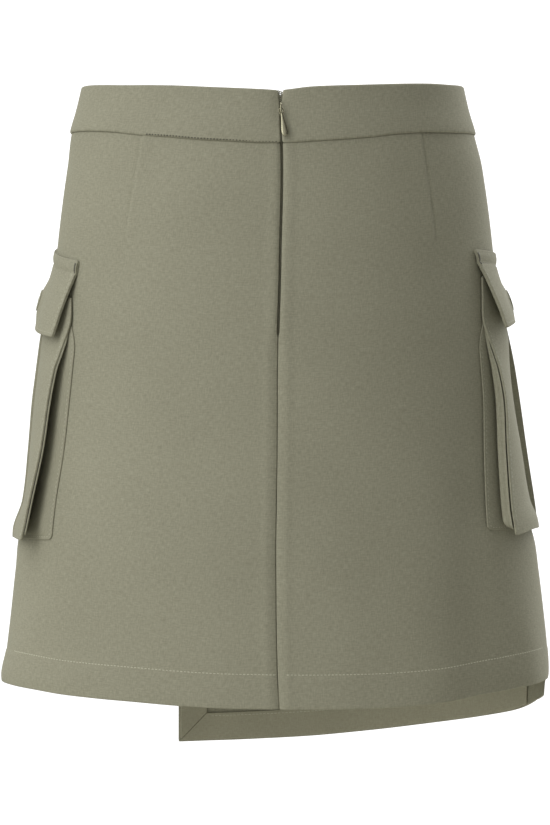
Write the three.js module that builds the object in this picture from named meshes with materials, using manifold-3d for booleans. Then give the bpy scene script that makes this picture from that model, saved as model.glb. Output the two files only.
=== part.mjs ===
// Cargo utility skirt, filled out as it is worn, with nobody in it.
// Millimetres. The origin is the centre of the waist opening, level with the waistband's top edge at
// the sides. +Z is up, the wearer faces -Y, and +X is the wearer's left.
//
// Every cloth piece is a wall: a grid of points on the garment, moved out and in along its own normals.
import * as THREE from 'three';
import { mergeVertices } from 'three/addons/utils/BufferGeometryUtils.js';
import Module from 'manifold-3d';

// ---------------------------------------------------------------- driving sizes

const CLOTH = 1.6; // one layer of heavy crepe, turned and pressed
const BAND = 3.2; // the waistband: two layers with their turnings between them
const BAND_PROUD = 1.3; // how far the band's outer face stands outside the panels
const GAP = 0.3; // between two pieces that are sewn together
const SEAM_GAP = 0.15; // half of the gap along a seam
const ROUNDNESS = 2.1; // power of the section's superellipse: 2 is an ellipse

// Heights of the edges at the sides, and how much lower each runs at the centre.
const WAIST = { top: 0, seam: -33.5, topDipBack: 11, seamDipBack: 14.5, topDipFront: 12, seamDipFront: 12 };
const HEM = { back: -432.5, backDip: 10, under: -414, underDip: 8 };

// The wrap is the upper front layer, from the right side seam to a free edge at the wearer's left.
const WRAP = {
  edgeX: 69, // the free edge hangs straight down here
  cornerZ: -485.5, // lowest point, at the free corner
  sideRise: 30, // how far the hem rises towards the right side, as a square law
  sideKick: 8, // and the last of the rise, close to the side seam
  kickPower: 20,
};
// The under layer lies inside the wrap and its facings, and comes out to the left side seam.
const UNDER = {
  tuck: 3.3, // its outer face, inside the garment's surface, where it leaves room for the facings
  seamTuck: 1.9, // and where it is caught in a seam with the wrap
  ease: 16, // it sinks in over this distance below the band
  fromSide: 14, // and over this angle from the right side seam, in degrees
  toSide: [302, 345], // it comes out again between these angles
};
const FACING = { width: 20.5, inset: 1, thickness: 1.1 };

// The zip lies behind the centre back seam. The seam drifts a little towards +X on its way down.
const ZIP = { end: -182, tapeTop: -14, tapeEnd: -192, tapeWidth: 11, tape: 0.7, halfSlot: 0.85 };
const NOTCH = { half: 1.9, from: -24, to: -12, sliderHalf: 0.95 }; // the V at the top of the slot
const DRIFT = { most: 3.4, from: -70, to: -250 };

// The garment's sections, waist to hem: half of its width, and its depth behind and in front.
const SECTIONS = [
  { z: 0, halfWidth: 136.8, back: 99, front: 97 },
  { z: -20, halfWidth: 141.6, back: 102, front: 100 },
  { z: -34, halfWidth: 145.4, back: 105, front: 102.5 },
  { z: -60, halfWidth: 150.2, back: 109, front: 106.5 },
  { z: -100, halfWidth: 155.7, back: 114, front: 111.5 },
  { z: -160, halfWidth: 162.0, back: 119, front: 116.5 },
  { z: -230, halfWidth: 169.8, back: 123.5, front: 121 },
  { z: -300, halfWidth: 179.6, back: 127.5, front: 125 },
  { z: -337, halfWidth: 187.4, back: 130, front: 127.5 },
  { z: -390, halfWidth: 193.9, back: 133.5, front: 130.5 },
  { z: -432, halfWidth: 197.4, back: 136, front: 133 },
  { z: -500, halfWidth: 200.5, back: 139, front: 136 },
];

// A bellows pocket, by height. seam: where its back edge is sewn on, as a distance from the middle
// of the skirt. edge, near, far: how far the outer panel stands off the skirt at its back edge and
// on the two sides of its centre pleat.
const POCKET_ROWS = {
  left: [
    { z: -137, seam: 144.5, edge: 2.6, near: 2.2, far: 2.3 },
    { z: -150, seam: 144.2, edge: 2.7, near: 2.3, far: 2.6 },
    { z: -186, seam: 143.1, edge: 8.0, near: 4.3, far: 5.8 },
    { z: -229, seam: 145.3, edge: 13.7, near: 4.7, far: 6.4 },
    { z: -263, seam: 150.4, edge: 15.2, near: 3.6, far: 4.8 },
    { z: -300, seam: 156.7, edge: 17.5, near: 2.5, far: 3.4 },
    { z: -318, seam: 158.7, edge: 19.0, near: 5.0, far: 5.8 },
    { z: -330, seam: 159.8, edge: 20.5, near: 3.6, far: 4.0 },
  ],
  right: [
    { z: -137, seam: 145.0, edge: 2.6, near: 2.2, far: 2.3 },
    { z: -150, seam: 145.3, edge: 2.7, near: 2.4, far: 2.8 },
    { z: -186, seam: 144.8, edge: 10.5, near: 4.6, far: 7.2 },
    { z: -229, seam: 147.5, edge: 15.0, near: 4.3, far: 9.2 },
    { z: -263, seam: 147.6, edge: 16.6, near: 4.7, far: 9.8 },
    { z: -300, seam: 148.9, edge: 18.8, near: 5.3, far: 10.2 },
    { z: -313, seam: 149.6, edge: 20.0, near: 8.0, far: 9.4 },
    { z: -330, seam: 151.0, edge: 20.5, near: 6.0, far: 6.5 },
  ],
};

// The flap, from its seam to its free edge: how far it stands off the skirt at the middle and ends.
const FLAP_ROWS = [
  { part: 0, middle: 2.3, end: 2.9 },
  { part: 0.15, middle: 2.7, end: 3.1 },
  { part: 0.35, middle: 4.6, end: 4.6 },
  { part: 0.55, middle: 6.2, end: 7.5 },
  { part: 0.75, middle: 8.4, end: 11.0 },
  { part: 1, middle: 11.2, end: 14.6 },
];

const SIDES = [
  {
    name: 'left', sign: 1, flapTop: -121, tilt: 9, dropMiddle: 55, dropEnd: 53.5, mouth: -147, bottom: -327,
  },
  {
    name: 'right', sign: -1, flapTop: -123, tilt: -1.5, dropMiddle: 49, dropEnd: 55.5, mouth: -147, bottom: -320,
  },
];
const POCKET = {
  frontShare: 0.97, // the front edge lies a little nearer the side seam than the back edge
  lip: 3, // the outer panel's edge ends this far inside the sewn-on outline
  pleatFront: 0.05, // the centre pleat's two folds, as a share of the half width
  pleatBack: 0.13,
  corner: 6, // radius of the gusset's lower corners
  gusset: 1.2, // its cloth
  seat: 1.45, // the middle of its sewn-on edge, off the skirt
  panelSeat: 1.85, // and the middle of its other edge, off the outer panel
  gussetTop: -172, // above this the bellows is folded flat under the panel
  valley: 7, // how far the bellows fold is pushed in
};
const FLAP = { half: 59, thickness: 1.8 };
const BUTTON = { radius: 7.8, thickness: 2.6, rim: 0.7, z: -157 };

// The slider's body lies inside, its neck comes out through the slot, and the pull hangs on the neck.
const SLIDER = {
  width: 7.5,
  top: -19.5,
  bottom: -30,
  depth: 3.2,
  tapeClear: 0.4, // between the band's inner face and the tapes
  bodyClear: 0.3, // between the tapes and the body, beyond the usual gap
  neck: 1.1, // the neck plate's thickness
  neckRadius: 1.9, // its round outer end, about the pin
  neckRoot: 1, // how far it reaches into the body, and ends short of the body's top and bottom
};
const PULL = {
  pivotZ: -24.6,
  pivotOut: 2.3, // the pin's axis, outside the band's face
  pin: 0.5, // radius of the pin
  hole: 0.85, // radius of the hole in the neck
  armIn: 0.95, // the eye's two arms, from the middle
  armOut: 1.75,
  drop: 19, // from the pin to the lower end
  neckHalf: 1.1, // half width where the drop begins
  halfWidth: 2.65, // half width at its round lower end
  thickness: 1.2,
  reach: 4.2, // the eye's height, from the pin to where the drop begins
  overlap: 0.6, // the drop begins this far up inside the eye's foot
  foot: 1.1, // height of the foot that joins the eye's arms
  lean: -9, // degrees to the side: its lower end swings towards the right
  rest: 13, // degrees outward, lying along the band
};

// ---------------------------------------------------------------- finishes

const finish = (color, roughness, metalness = 0) =>
  new THREE.MeshStandardMaterial({ color, roughness, metalness, side: THREE.FrontSide });
const CREPE = finish(0x85836f, 0.85);
const CREPE_INSIDE = finish(0x6f6d5d, 0.9);
const TAPE = finish(0x6a6857, 0.9);
const PAINTED_METAL = finish(0x8c8973, 0.4, 0.6);
const BUTTON_RESIN = finish(0x86856f, 0.45);

// ---------------------------------------------------------------- small helpers

const RAD = Math.PI / 180;
const mix = (a, b, t) => a + (b - a) * t;
const clamp01 = (t) => Math.min(1, Math.max(0, t));
const smooth = (from, to, value) => {
  const t = clamp01((value - from) / (to - from));
  return t * t * (3 - 2 * t);
};

/** One column of a table, read between its rows on a smooth cubic through them. */
function column(rows, key, name, at) {
  const order = Math.sign(rows[rows.length - 1][key] - rows[0][key]);
  let k = 0;
  while (k < rows.length - 2 && (at - rows[k + 1][key]) * order > 0) k += 1;
  const slope = (i) => {
    const before = rows[Math.max(0, i - 1)];
    const after = rows[Math.min(rows.length - 1, i + 1)];
    return (after[name] - before[name]) / (after[key] - before[key]);
  };
  const span = rows[k + 1][key] - rows[k][key];
  const t = clamp01((at - rows[k][key]) / span);
  const a = rows[k][name];
  const b = rows[k + 1][name];
  const ma = slope(k) * span;
  const mb = slope(k + 1) * span;
  return a + t * ma + t * t * (3 * (b - a) - 2 * ma - mb) + t ** 3 * (2 * (a - b) + ma + mb);
}

/** A grid of points: across from 0 to 1 in columns, down from 0 to 1 in rows. */
function grid(columns, rows, pointAt) {
  return Array.from({ length: columns + 1 }, (_, i) =>
    Array.from({ length: rows + 1 }, (_, j) => pointAt(i / columns, j / rows)));
}

/**
 * A closed wall on a grid that runs counter-clockwise round the garment and downwards: its points
 * moved along the grid's normals, out for the outer face and in for the inner one, joined all round.
 * out and inn are distances, or functions of the two grid parameters.
 */
function wall(points, out, inn) {
  const m = points.length - 1;
  const n = points[0].length - 1;
  const distance = (value, i, j) => (typeof value === 'function' ? value(i / m, j / n) : value);
  const across = new THREE.Vector3();
  const down = new THREE.Vector3();
  const positions = [];
  for (const value of [out, inn]) {
    for (let i = 0; i <= m; i += 1) {
      for (let j = 0; j <= n; j += 1) {
        across.subVectors(points[Math.min(m, i + 1)][j], points[Math.max(0, i - 1)][j]);
        down.subVectors(points[i][Math.min(n, j + 1)], points[i][Math.max(0, j - 1)]);
        const moved = down.cross(across).normalize().multiplyScalar(distance(value, i, j));
        positions.push(...moved.add(points[i][j]).toArray());
      }
    }
  }
  const outer = (i, j) => i * (n + 1) + j;
  const inner = (i, j) => (m + 1) * (n + 1) + i * (n + 1) + j;
  const index = [];
  const quad = (a, b, c, d) => index.push(a, b, c, a, c, d);
  for (let i = 0; i < m; i += 1) {
    for (let j = 0; j < n; j += 1) {
      quad(outer(i, j), outer(i, j + 1), outer(i + 1, j + 1), outer(i + 1, j));
      quad(inner(i, j), inner(i + 1, j), inner(i + 1, j + 1), inner(i, j + 1));
    }
    quad(outer(i, 0), outer(i + 1, 0), inner(i + 1, 0), inner(i, 0));
    quad(outer(i + 1, n), outer(i, n), inner(i, n), inner(i + 1, n));
  }
  for (let j = 0; j < n; j += 1) {
    quad(outer(0, j + 1), outer(0, j), inner(0, j), inner(0, j + 1));
    quad(outer(m, j), outer(m, j + 1), inner(m, j + 1), inner(m, j));
  }
  const geometry = new THREE.BufferGeometry();
  geometry.setAttribute('position', new THREE.Float32BufferAttribute(positions, 3));
  geometry.setIndex(index);
  return geometry;
}

const skirt = new THREE.Group();
const pull = new THREE.Group();

function piece(name, geometry, material, group = skirt) {
  const mesh = new THREE.Mesh(geometry, material);
  mesh.name = name;
  group.add(mesh);
  return mesh;
}

// ---------------------------------------------------------------- the garment's surface

const halfWidthAt = (z) => column(SECTIONS, 'z', 'halfWidth', z);
const depthAt = (z, y) => column(SECTIONS, 'z', y >= 0 ? 'back' : 'front', z);

/** A point on the garment: the angle is 0 at the left side, 90 at the centre back, in radians. */
function garmentPoint(angle, z) {
  const c = Math.cos(angle);
  const s = Math.sin(angle);
  const x = Math.sign(c) * Math.abs(c) ** (2 / ROUNDNESS) * halfWidthAt(z);
  const y = Math.sign(s) * Math.abs(s) ** (2 / ROUNDNESS) * depthAt(z, s);
  return new THREE.Vector3(x, y, z);
}

/** The angle at which the section's front half passes through a distance x from the middle. */
const frontAngle = (x, z) =>
  2 * Math.PI - Math.acos(Math.sign(x) * (Math.abs(x) / halfWidthAt(z)) ** (ROUNDNESS / 2));

/** The garment's distance from the middle at a depth y: its side surface. */
const sideX = (y, z) =>
  halfWidthAt(z) * (1 - Math.min(1, Math.abs(y) / depthAt(z, y)) ** ROUNDNESS) ** (1 / ROUNDNESS);

/** The depth, behind the side seam, at which that surface lies a distance x from the middle. */
const backY = (x, z) =>
  depthAt(z, 1) * (1 - (x / halfWidthAt(z)) ** ROUNDNESS) ** (1 / ROUNDNESS);

const dip = (angle) => Math.sin(angle) ** 2;
const isBack = (angle) => Math.sin(angle) >= 0;
const waistEdge = (level, dipBack, dipFront) => (angle) =>
  level - (isBack(angle) ? dipBack : dipFront) * dip(angle);
const waistTop = waistEdge(WAIST.top, WAIST.topDipBack, WAIST.topDipFront);
const waistSeam = waistEdge(WAIST.seam, WAIST.seamDipBack, WAIST.seamDipFront);
const backHem = (angle) => HEM.back - HEM.backDip * Math.abs(Math.sin(angle)) ** 3;
const underHem = (angle) => HEM.under - HEM.underDip * dip(angle);
function wrapHem(angle) {
  const fromEdge = WRAP.edgeX - halfWidthAt(WRAP.cornerZ) * Math.cos(angle);
  const t = clamp01(fromEdge / (WRAP.edgeX + halfWidthAt(HEM.back)));
  return WRAP.cornerZ + WRAP.sideRise * t * t + WRAP.sideKick * t ** WRAP.kickPower;
}

/** The centre back line, and half of the slot between its two edges. */
const centreX = (z) => DRIFT.most * smooth(DRIFT.from, DRIFT.to, z);
function halfSlot(z) {
  if (z < ZIP.end) return SEAM_GAP;
  const aroundSlider = mix(ZIP.halfSlot, NOTCH.sliderHalf, smooth(-60, -34, z));
  return mix(aroundSlider, NOTCH.half, smooth(NOTCH.from, NOTCH.to, z));
}
const centreAngle = (z, side) => Math.acos((centreX(z) + side * halfSlot(z)) / halfWidthAt(z));

/**
 * The angle and height of a place that is given by a rule for each: the angle follows from the
 * height and the height from the angle, so the two are worked out in turn until they agree.
 */
function settle(angleAt, heightAt) {
  let z = HEM.back;
  let angle = angleAt(z);
  for (let turn = 0; turn < 4; turn += 1) {
    z = heightAt(angle);
    angle = angleAt(z);
  }
  return { angle, z };
}

/** A stretch of the garment: rules for the angle across it, and for the height down it. */
function stretch(columns, rows, angleAt, heightAt) {
  return grid(columns, rows, (u, v) => {
    const place = settle((z) => angleAt(u, z), (angle) => heightAt(angle, v));
    return garmentPoint(place.angle, place.z);
  });
}
const between = (top, bottom) => (angle, v) => mix(top(angle), bottom(angle), v);

const sideGap = SEAM_GAP / depthAt(-200, 1);
const backLeftAngle = (u, z) => mix(sideGap, centreAngle(z, 1), u);
const backRightAngle = (u, z) => mix(centreAngle(z, -1), Math.PI - sideGap, u);
const frontAngleAt = (u) => mix(Math.PI + sideGap, 2 * Math.PI - sideGap, u);
const below = (edge, distance) => (angle) => edge(angle) - distance;

// ---------------------------------------------------------------- waistband and panels

const bandIn = BAND_PROUD - BAND;
function bandPiece(name, columns, angleAt) {
  piece(name, wall(stretch(columns, 3, angleAt, between(waistTop, waistSeam)), BAND_PROUD, bandIn), CREPE);
}
bandPiece('waistband_back_left', 14, backLeftAngle);
bandPiece('waistband_back_right', 14, backRightAngle);
bandPiece('waistband_front', 26, frontAngleAt);

const panelTop = below(waistSeam, GAP);
piece('back_left', wall(stretch(14, 15, backLeftAngle, between(panelTop, backHem)), 0, -CLOTH), CREPE);
piece('back_right', wall(stretch(14, 15, backRightAngle, between(panelTop, backHem)), 0, -CLOTH), CREPE);

/** How far the under layer's outer face lies inside the garment's surface. */
function underTuck(angle, z) {
  const sunk = smooth(Math.PI, Math.PI + UNDER.fromSide * RAD, angle)
    * smooth(0, UNDER.ease, panelTop(angle) - z);
  const out = smooth(UNDER.toSide[0] * RAD, UNDER.toSide[1] * RAD, angle);
  return mix(mix(UNDER.seamTuck, UNDER.tuck, sunk), 0, out);
}
const UNDER_ROWS = 12; // the first row spans the ease, and the others share the rest
function underHeight(angle, v) {
  const first = 1 / UNDER_ROWS;
  const easeEnd = panelTop(angle) - UNDER.ease;
  if (v <= first) return mix(panelTop(angle), easeEnd, v / first);
  return mix(easeEnd, underHem(angle), (v - first) / (1 - first));
}
const underFace = (u, v) => -underTuck(frontAngleAt(u), underHeight(frontAngleAt(u), v));
const underPoints = stretch(22, UNDER_ROWS, frontAngleAt, underHeight);
piece('front_under', wall(underPoints, underFace, (u, v) => underFace(u, v) - CLOTH), CREPE);

// ---------------------------------------------------------------- the wrap and its facings

const wrapAngle = (u, z) => mix(Math.PI + sideGap, frontAngle(WRAP.edgeX, z), u);
piece('front_wrap', wall(stretch(22, 13, wrapAngle, between(panelTop, wrapHem)), 0, -CLOTH), CREPE);

/** A facing lies on the wrap's inner face, between it and the under layer. */
const facingOut = -CLOTH - GAP;
const facingIn = facingOut - FACING.thickness;
// Where the two facings' ends meet, at 45 degrees.
const mitre = (distance) => WRAP.edgeX - FACING.inset - distance;
const facingStart = Math.PI + (UNDER.fromSide + 2) * RAD;
const hemFacing = grid(18, 2, (u, v) => {
  const up = FACING.inset + FACING.width * (1 - v);
  const angleAt = (z) => mix(facingStart, frontAngle(mitre(up - FACING.inset), z), u);
  const place = settle(angleAt, (angle) => wrapHem(angle) + up);
  return garmentPoint(place.angle, place.z);
});
piece('wrap_hem_facing', wall(hemFacing, facingOut, facingIn), CREPE_INSIDE);

const edgeFacing = grid(2, 14, (u, v) => {
  const across = FACING.width * (1 - u);
  const lowest = (angle) => wrapHem(angle) + FACING.inset + across + 2 * GAP;
  const angleAt = (z) => frontAngle(mitre(across), z);
  const place = settle(angleAt, (angle) => mix(panelTop(angle) - UNDER.ease, lowest(angle), v));
  return garmentPoint(place.angle, place.z);
});
piece('wrap_edge_facing', wall(edgeFacing, facingOut, facingIn), CREPE_INSIDE);

// ---------------------------------------------------------------- bellows pockets

/** The pocket's sewn-on outline at a height: its back and front depths. */
const pocketBack = (side, z) => backY(column(POCKET_ROWS[side.name], 'z', 'seam', z), z);
const pocketFront = (side, z) => -POCKET.frontShare * pocketBack(side, z);

/** The outer panel's distance from the middle, at a share across from -1 (front) to 1 (back). */
function panelX(side, share, y, z) {
  const rows = POCKET_ROWS[side.name];
  const edge = column(rows, 'z', 'edge', z);
  const near = column(rows, 'z', 'near', z);
  const far = column(rows, 'z', 'far', z);
  const behind = share >= POCKET.pleatBack;
  const t = behind ? (share - POCKET.pleatBack) / (1 - POCKET.pleatBack) : Math.min(0, share);
  const pleat = smooth(POCKET.pleatFront, POCKET.pleatBack, share);
  return sideX(y, z) + mix(mix(far, near, pleat), edge, t * t);
}

/** Depth of a share across the pocket, its ends drawn in by an inset. */
const pocketY = (side, share, z, inset) =>
  (share >= 0 ? share * (pocketBack(side, z) - inset) : -share * (pocketFront(side, z) + inset));

/** The shares across the panel: each half in steps, with the pleat's step between them. */
function panelShares(steps) {
  const shares = [];
  for (let k = 0; k <= steps; k += 1) shares.push(mix(-1, POCKET.pleatFront, k / steps));
  for (let k = 0; k <= steps; k += 1) shares.push(mix(POCKET.pleatBack, 1, k / steps));
  return shares;
}

function pocketPanel(side) {
  const shares = panelShares(5);
  const ordered = side.sign > 0 ? shares : [...shares].reverse();
  const points = grid(ordered.length - 1, 12, (u, v) => {
    const share = ordered[Math.round(u * (ordered.length - 1))];
    const z = mix(side.mouth - side.tilt * share, side.bottom, v);
    const y = pocketY(side, share, z, POCKET.lip);
    return new THREE.Vector3(side.sign * panelX(side, share, y, z), y, z);
  });
  return wall(points, 0, -CLOTH);
}

/** The U of the pocket's outline, down its back edge, along the bottom and up its front edge. */
function pocketOutline(side, inset) {
  const points = [];
  const floor = side.bottom + inset;
  const r = POCKET.corner;
  const stepsDown = 9;
  const stepsRound = 2;
  const stepsAlong = 8;
  const half = [];
  for (let k = 0; k <= stepsDown; k += 1) {
    half.push({ share: 1, z: mix(POCKET.gussetTop, floor + r, k / stepsDown) });
  }
  for (let k = 1; k <= stepsRound; k += 1) {
    const turn = (k / stepsRound) * (Math.PI / 2);
    half.push({ share: 1, in: r * (1 - Math.cos(turn)), z: floor + r * (1 - Math.sin(turn)) });
  }
  for (const sign of [1, -1]) {
    const run = half.map((p) => ({ y: pocketY(side, sign * p.share, p.z, inset + (p.in ?? 0)), z: p.z }));
    if (sign > 0) points.push(...run);
    else {
      const from = points[points.length - 1];
      const to = run[run.length - 1];
      for (let k = 1; k < stepsAlong; k += 1) {
        const t = k / stepsAlong;
        points.push({ y: mix(from.y, to.y, t), z: floor });
      }
      points.push(...run.reverse());
    }
  }
  return points;
}

const clampSigned = (t) => Math.min(1, Math.max(-1, t));

/** The share across the pocket of a depth y. */
function shareOf(side, y, z) {
  return y >= 0 ? y / (pocketBack(side, z) - POCKET.lip) : -y / (pocketFront(side, z) + POCKET.lip);
}

/** The bellows: a folded strip between the skirt and the outer panel's inner face. */
function pocketGusset(side) {
  const base = pocketOutline(side, 1);
  const fold = pocketOutline(side, POCKET.valley);
  const edge = pocketOutline(side, POCKET.lip + 2);
  const innerFace = (p) =>
    panelX(side, clampSigned(shareOf(side, p.y, p.z)), p.y, p.z) - CLOTH - POCKET.panelSeat;
  const rings = base.map((p, k) => {
    const low = sideX(p.y, p.z) + POCKET.seat;
    const f = fold[k];
    const e = edge[k];
    const high = innerFace(e);
    const middle = mix(sideX(f.y, f.z) + POCKET.seat, innerFace(f), 0.5);
    return [
      new THREE.Vector3(side.sign * high, e.y, e.z),
      new THREE.Vector3(side.sign * middle, f.y, f.z),
      new THREE.Vector3(side.sign * low, p.y, p.z),
    ];
  });
  const ordered = side.sign > 0 ? rings : rings.reverse();
  return wall(ordered, POCKET.gusset / 2, -POCKET.gusset / 2);
}

// ---------------------------------------------------------------- flaps and their buttons

/** A point on the flap's outer face, at a share across and a part of the way down. */
function flapPoint(side, share, part) {
  const drop = mix(side.dropMiddle, side.dropEnd, share * share);
  const z = side.flapTop - side.tilt * share - drop * part;
  const y = share * FLAP.half;
  const stand = mix(
    column(FLAP_ROWS, 'part', 'middle', part),
    column(FLAP_ROWS, 'part', 'end', part),
    share * share,
  );
  return new THREE.Vector3(side.sign * (sideX(y, z) + stand), y, z);
}

function pocketFlap(side) {
  const points = grid(12, 9, (u, v) => flapPoint(side, side.sign * (2 * u - 1), v));
  return wall(points, 0, -FLAP.thickness);
}

/** A sewn-on button: a round disc with a raised rim, its face along +Z. */
function buttonGeometry() {
  const { radius, thickness, rim } = BUTTON;
  const profile = [
    [0, 0], [radius - 0.8, 0], [radius, 0.8], [radius, thickness - 0.6], [radius - 0.6, thickness],
    [radius - 1.6, thickness], [radius - 2.4, thickness - rim], [0, thickness - rim],
  ].map(([r, h]) => new THREE.Vector2(r, h));
  return new THREE.LatheGeometry(profile, 28).rotateX(Math.PI / 2);
}

for (const side of SIDES) {
  piece(`pocket_${side.name}_gusset`, pocketGusset(side), CREPE_INSIDE);
  piece(`pocket_${side.name}_panel`, pocketPanel(side), CREPE);
  piece(`pocket_${side.name}_flap`, pocketFlap(side), CREPE);
  const part = (side.flapTop - BUTTON.z) / side.dropMiddle;
  const step = 0.05;
  const centre = flapPoint(side, 0, part);
  const down = flapPoint(side, 0, part + step).sub(flapPoint(side, 0, part - step));
  const across = flapPoint(side, step, part).sub(flapPoint(side, -step, part));
  const outward = down.cross(across).normalize();
  if (outward.x * side.sign < 0) outward.negate();
  const button = piece(`flap_button_${side.name}`, buttonGeometry(), BUTTON_RESIN);
  button.quaternion.setFromUnitVectors(new THREE.Vector3(0, 0, 1), outward);
  button.position.copy(centre).addScaledVector(outward, GAP);
}

// ---------------------------------------------------------------- zip

/** One half of the zip's tape, behind the seam's edge. */
function zipTape(side) {
  const nearX = (z) => centreX(z) + side * 0.9;
  const farX = (z) => centreX(z) + side * (0.9 + ZIP.tapeWidth);
  const angle = (x, z) => Math.acos(Math.sign(x) * (Math.abs(x) / halfWidthAt(z)) ** (ROUNDNESS / 2));
  const points = grid(2, 12, (u, v) => {
    const z = mix(ZIP.tapeTop, ZIP.tapeEnd, v);
    const x = side > 0 ? mix(farX(z), nearX(z), u) : mix(nearX(z), farX(z), u);
    return garmentPoint(angle(x, z), z);
  });
  const out = bandIn - 0.4;
  return wall(points, out, out - ZIP.tape);
}
piece('zip_tape_left', zipTape(1), TAPE);
piece('zip_tape_right', zipTape(-1), TAPE);

const wasm = await Module();
wasm.setup();

/** A closed three.js geometry as a manifold solid. */
function solid(geometry) {
  const bare = geometry.clone();
  bare.deleteAttribute('normal');
  bare.deleteAttribute('uv');
  const merged = mergeVertices(bare, 1e-5);
  return new wasm.Manifold(new wasm.Mesh({
    numProp: 3,
    vertProperties: new Float32Array(merged.attributes.position.array),
    triVerts: new Uint32Array(merged.index.array),
  }));
}

/** A manifold solid as a three.js geometry. */
function geometryOf(manifold) {
  const mesh = manifold.getMesh();
  const geometry = new THREE.BufferGeometry();
  geometry.setAttribute('position', new THREE.Float32BufferAttribute(mesh.vertProperties, 3));
  geometry.setIndex(Array.from(mesh.triVerts));
  return geometry;
}

const faceY = (z) => depthAt(z, 1) + BAND_PROUD; // the band's outer face at the centre back
const pivot = new THREE.Vector3(centreX(PULL.pivotZ), faceY(PULL.pivotZ) + PULL.pivotOut, PULL.pivotZ);

/** The slider: a body behind the tapes, and a neck plate with the pull's hole in it. */
function sliderGeometry() {
  const height = SLIDER.top - SLIDER.bottom;
  const backFace = depthAt(SLIDER.top, 1) + bandIn - SLIDER.tapeClear - ZIP.tape - GAP - SLIDER.bodyClear;
  const body = new THREE.BoxGeometry(SLIDER.width, SLIDER.depth, height);
  body.translate(pivot.x, backFace - SLIDER.depth / 2, (SLIDER.top + SLIDER.bottom) / 2);
  // The neck's outline is drawn as depth and height, then turned to stand across the slot.
  const outline = new THREE.Shape();
  outline.moveTo(backFace - SLIDER.neckRoot, SLIDER.bottom + SLIDER.neckRoot);
  outline.lineTo(pivot.y, PULL.pivotZ - SLIDER.neckRadius);
  outline.absarc(pivot.y, PULL.pivotZ, SLIDER.neckRadius, -Math.PI / 2, Math.PI / 2, false);
  outline.lineTo(backFace - SLIDER.neckRoot, SLIDER.top - SLIDER.neckRoot);
  outline.closePath();
  const hole = new THREE.Path();
  hole.absarc(pivot.y, PULL.pivotZ, PULL.hole, 0, 2 * Math.PI, true);
  outline.holes.push(hole);
  const plate = { depth: SLIDER.neck, bevelEnabled: false, curveSegments: 10 };
  const neck = new THREE.ExtrudeGeometry(outline, plate);
  neck.translate(0, 0, -SLIDER.neck / 2);
  neck.applyMatrix4(new THREE.Matrix4().makeBasis(
    new THREE.Vector3(0, 1, 0), new THREE.Vector3(0, 0, 1), new THREE.Vector3(1, 0, 0),
  ));
  neck.translate(pivot.x, 0, 0);
  return geometryOf(solid(body).add(solid(neck)));
}
piece('zip_slider', sliderGeometry(), PAINTED_METAL);

/** The pull, hanging straight down from the pin at its origin: an eye round the neck, then a drop. */
function pullGeometry() {
  const half = PULL.thickness / 2;
  const { reach } = PULL;
  const low = PULL.drop - PULL.halfWidth; // centre of the round lower end
  const drop = new THREE.Shape();
  const dropTop = PULL.overlap - reach;
  drop.moveTo(-PULL.neckHalf, dropTop);
  drop.lineTo(-PULL.halfWidth, -low);
  drop.absarc(0, -low, PULL.halfWidth, Math.PI, 2 * Math.PI, false);
  drop.lineTo(PULL.neckHalf, dropTop);
  drop.closePath();
  const plate = { depth: PULL.thickness, bevelEnabled: false, curveSegments: 12 };
  const body = new THREE.ExtrudeGeometry(drop, plate);
  body.translate(0, 0, -half);
  body.rotateZ(PULL.lean * RAD);
  const arm = new THREE.BoxGeometry(PULL.armOut - PULL.armIn, reach, PULL.thickness);
  const armX = (PULL.armIn + PULL.armOut) / 2;
  const pin = new THREE.CylinderGeometry(PULL.pin, PULL.pin, 2 * PULL.armOut - 0.2, 12).rotateZ(Math.PI / 2);
  const foot = new THREE.BoxGeometry(2 * PULL.armOut, PULL.foot, PULL.thickness);
  foot.translate(0, PULL.foot / 2 - reach, 0);
  const eye = [-armX, armX].map((x) => arm.clone().translate(x, -reach / 2 + PULL.pin, 0));
  const joined = [pin, foot, ...eye].reduce((all, next) => all.add(solid(next)), solid(body));
  return geometryOf(joined).rotateX(Math.PI / 2);
}
const pullMesh = piece('zip_pull', pullGeometry(), PAINTED_METAL, pull);
pullMesh.rotation.x = PULL.rest * RAD;
pull.position.copy(pivot);

const garment = new THREE.Group();
garment.name = 'cargo_utility_skirt';
garment.add(skirt, pull);
export default garment;
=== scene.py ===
import math

import bpy
import numpy as np
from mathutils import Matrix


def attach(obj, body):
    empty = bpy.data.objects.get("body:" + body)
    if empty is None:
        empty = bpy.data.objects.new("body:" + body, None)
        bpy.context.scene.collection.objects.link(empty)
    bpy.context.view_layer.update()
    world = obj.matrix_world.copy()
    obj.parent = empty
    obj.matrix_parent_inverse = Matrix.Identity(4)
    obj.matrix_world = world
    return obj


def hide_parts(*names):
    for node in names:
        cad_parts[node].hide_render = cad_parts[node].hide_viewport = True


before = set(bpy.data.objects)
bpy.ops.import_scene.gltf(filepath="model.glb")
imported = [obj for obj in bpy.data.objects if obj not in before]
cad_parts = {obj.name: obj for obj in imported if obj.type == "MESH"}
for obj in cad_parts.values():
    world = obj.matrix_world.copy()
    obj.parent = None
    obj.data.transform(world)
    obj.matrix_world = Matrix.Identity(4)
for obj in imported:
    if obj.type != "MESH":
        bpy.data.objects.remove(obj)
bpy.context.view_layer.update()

# The looks of a cargo utility skirt, filled out as it is worn, with nobody in it. Its own sizes are
# in millimetres here, as a maker gives them, and every mesh is written in metres. +Z is up, the
# wearer faces -Y, +X is the wearer's left, and the origin is the centre of the waist opening.

MM = 0.001

# ------------------------------------------------------------------------------ driving sizes, mm

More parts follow.
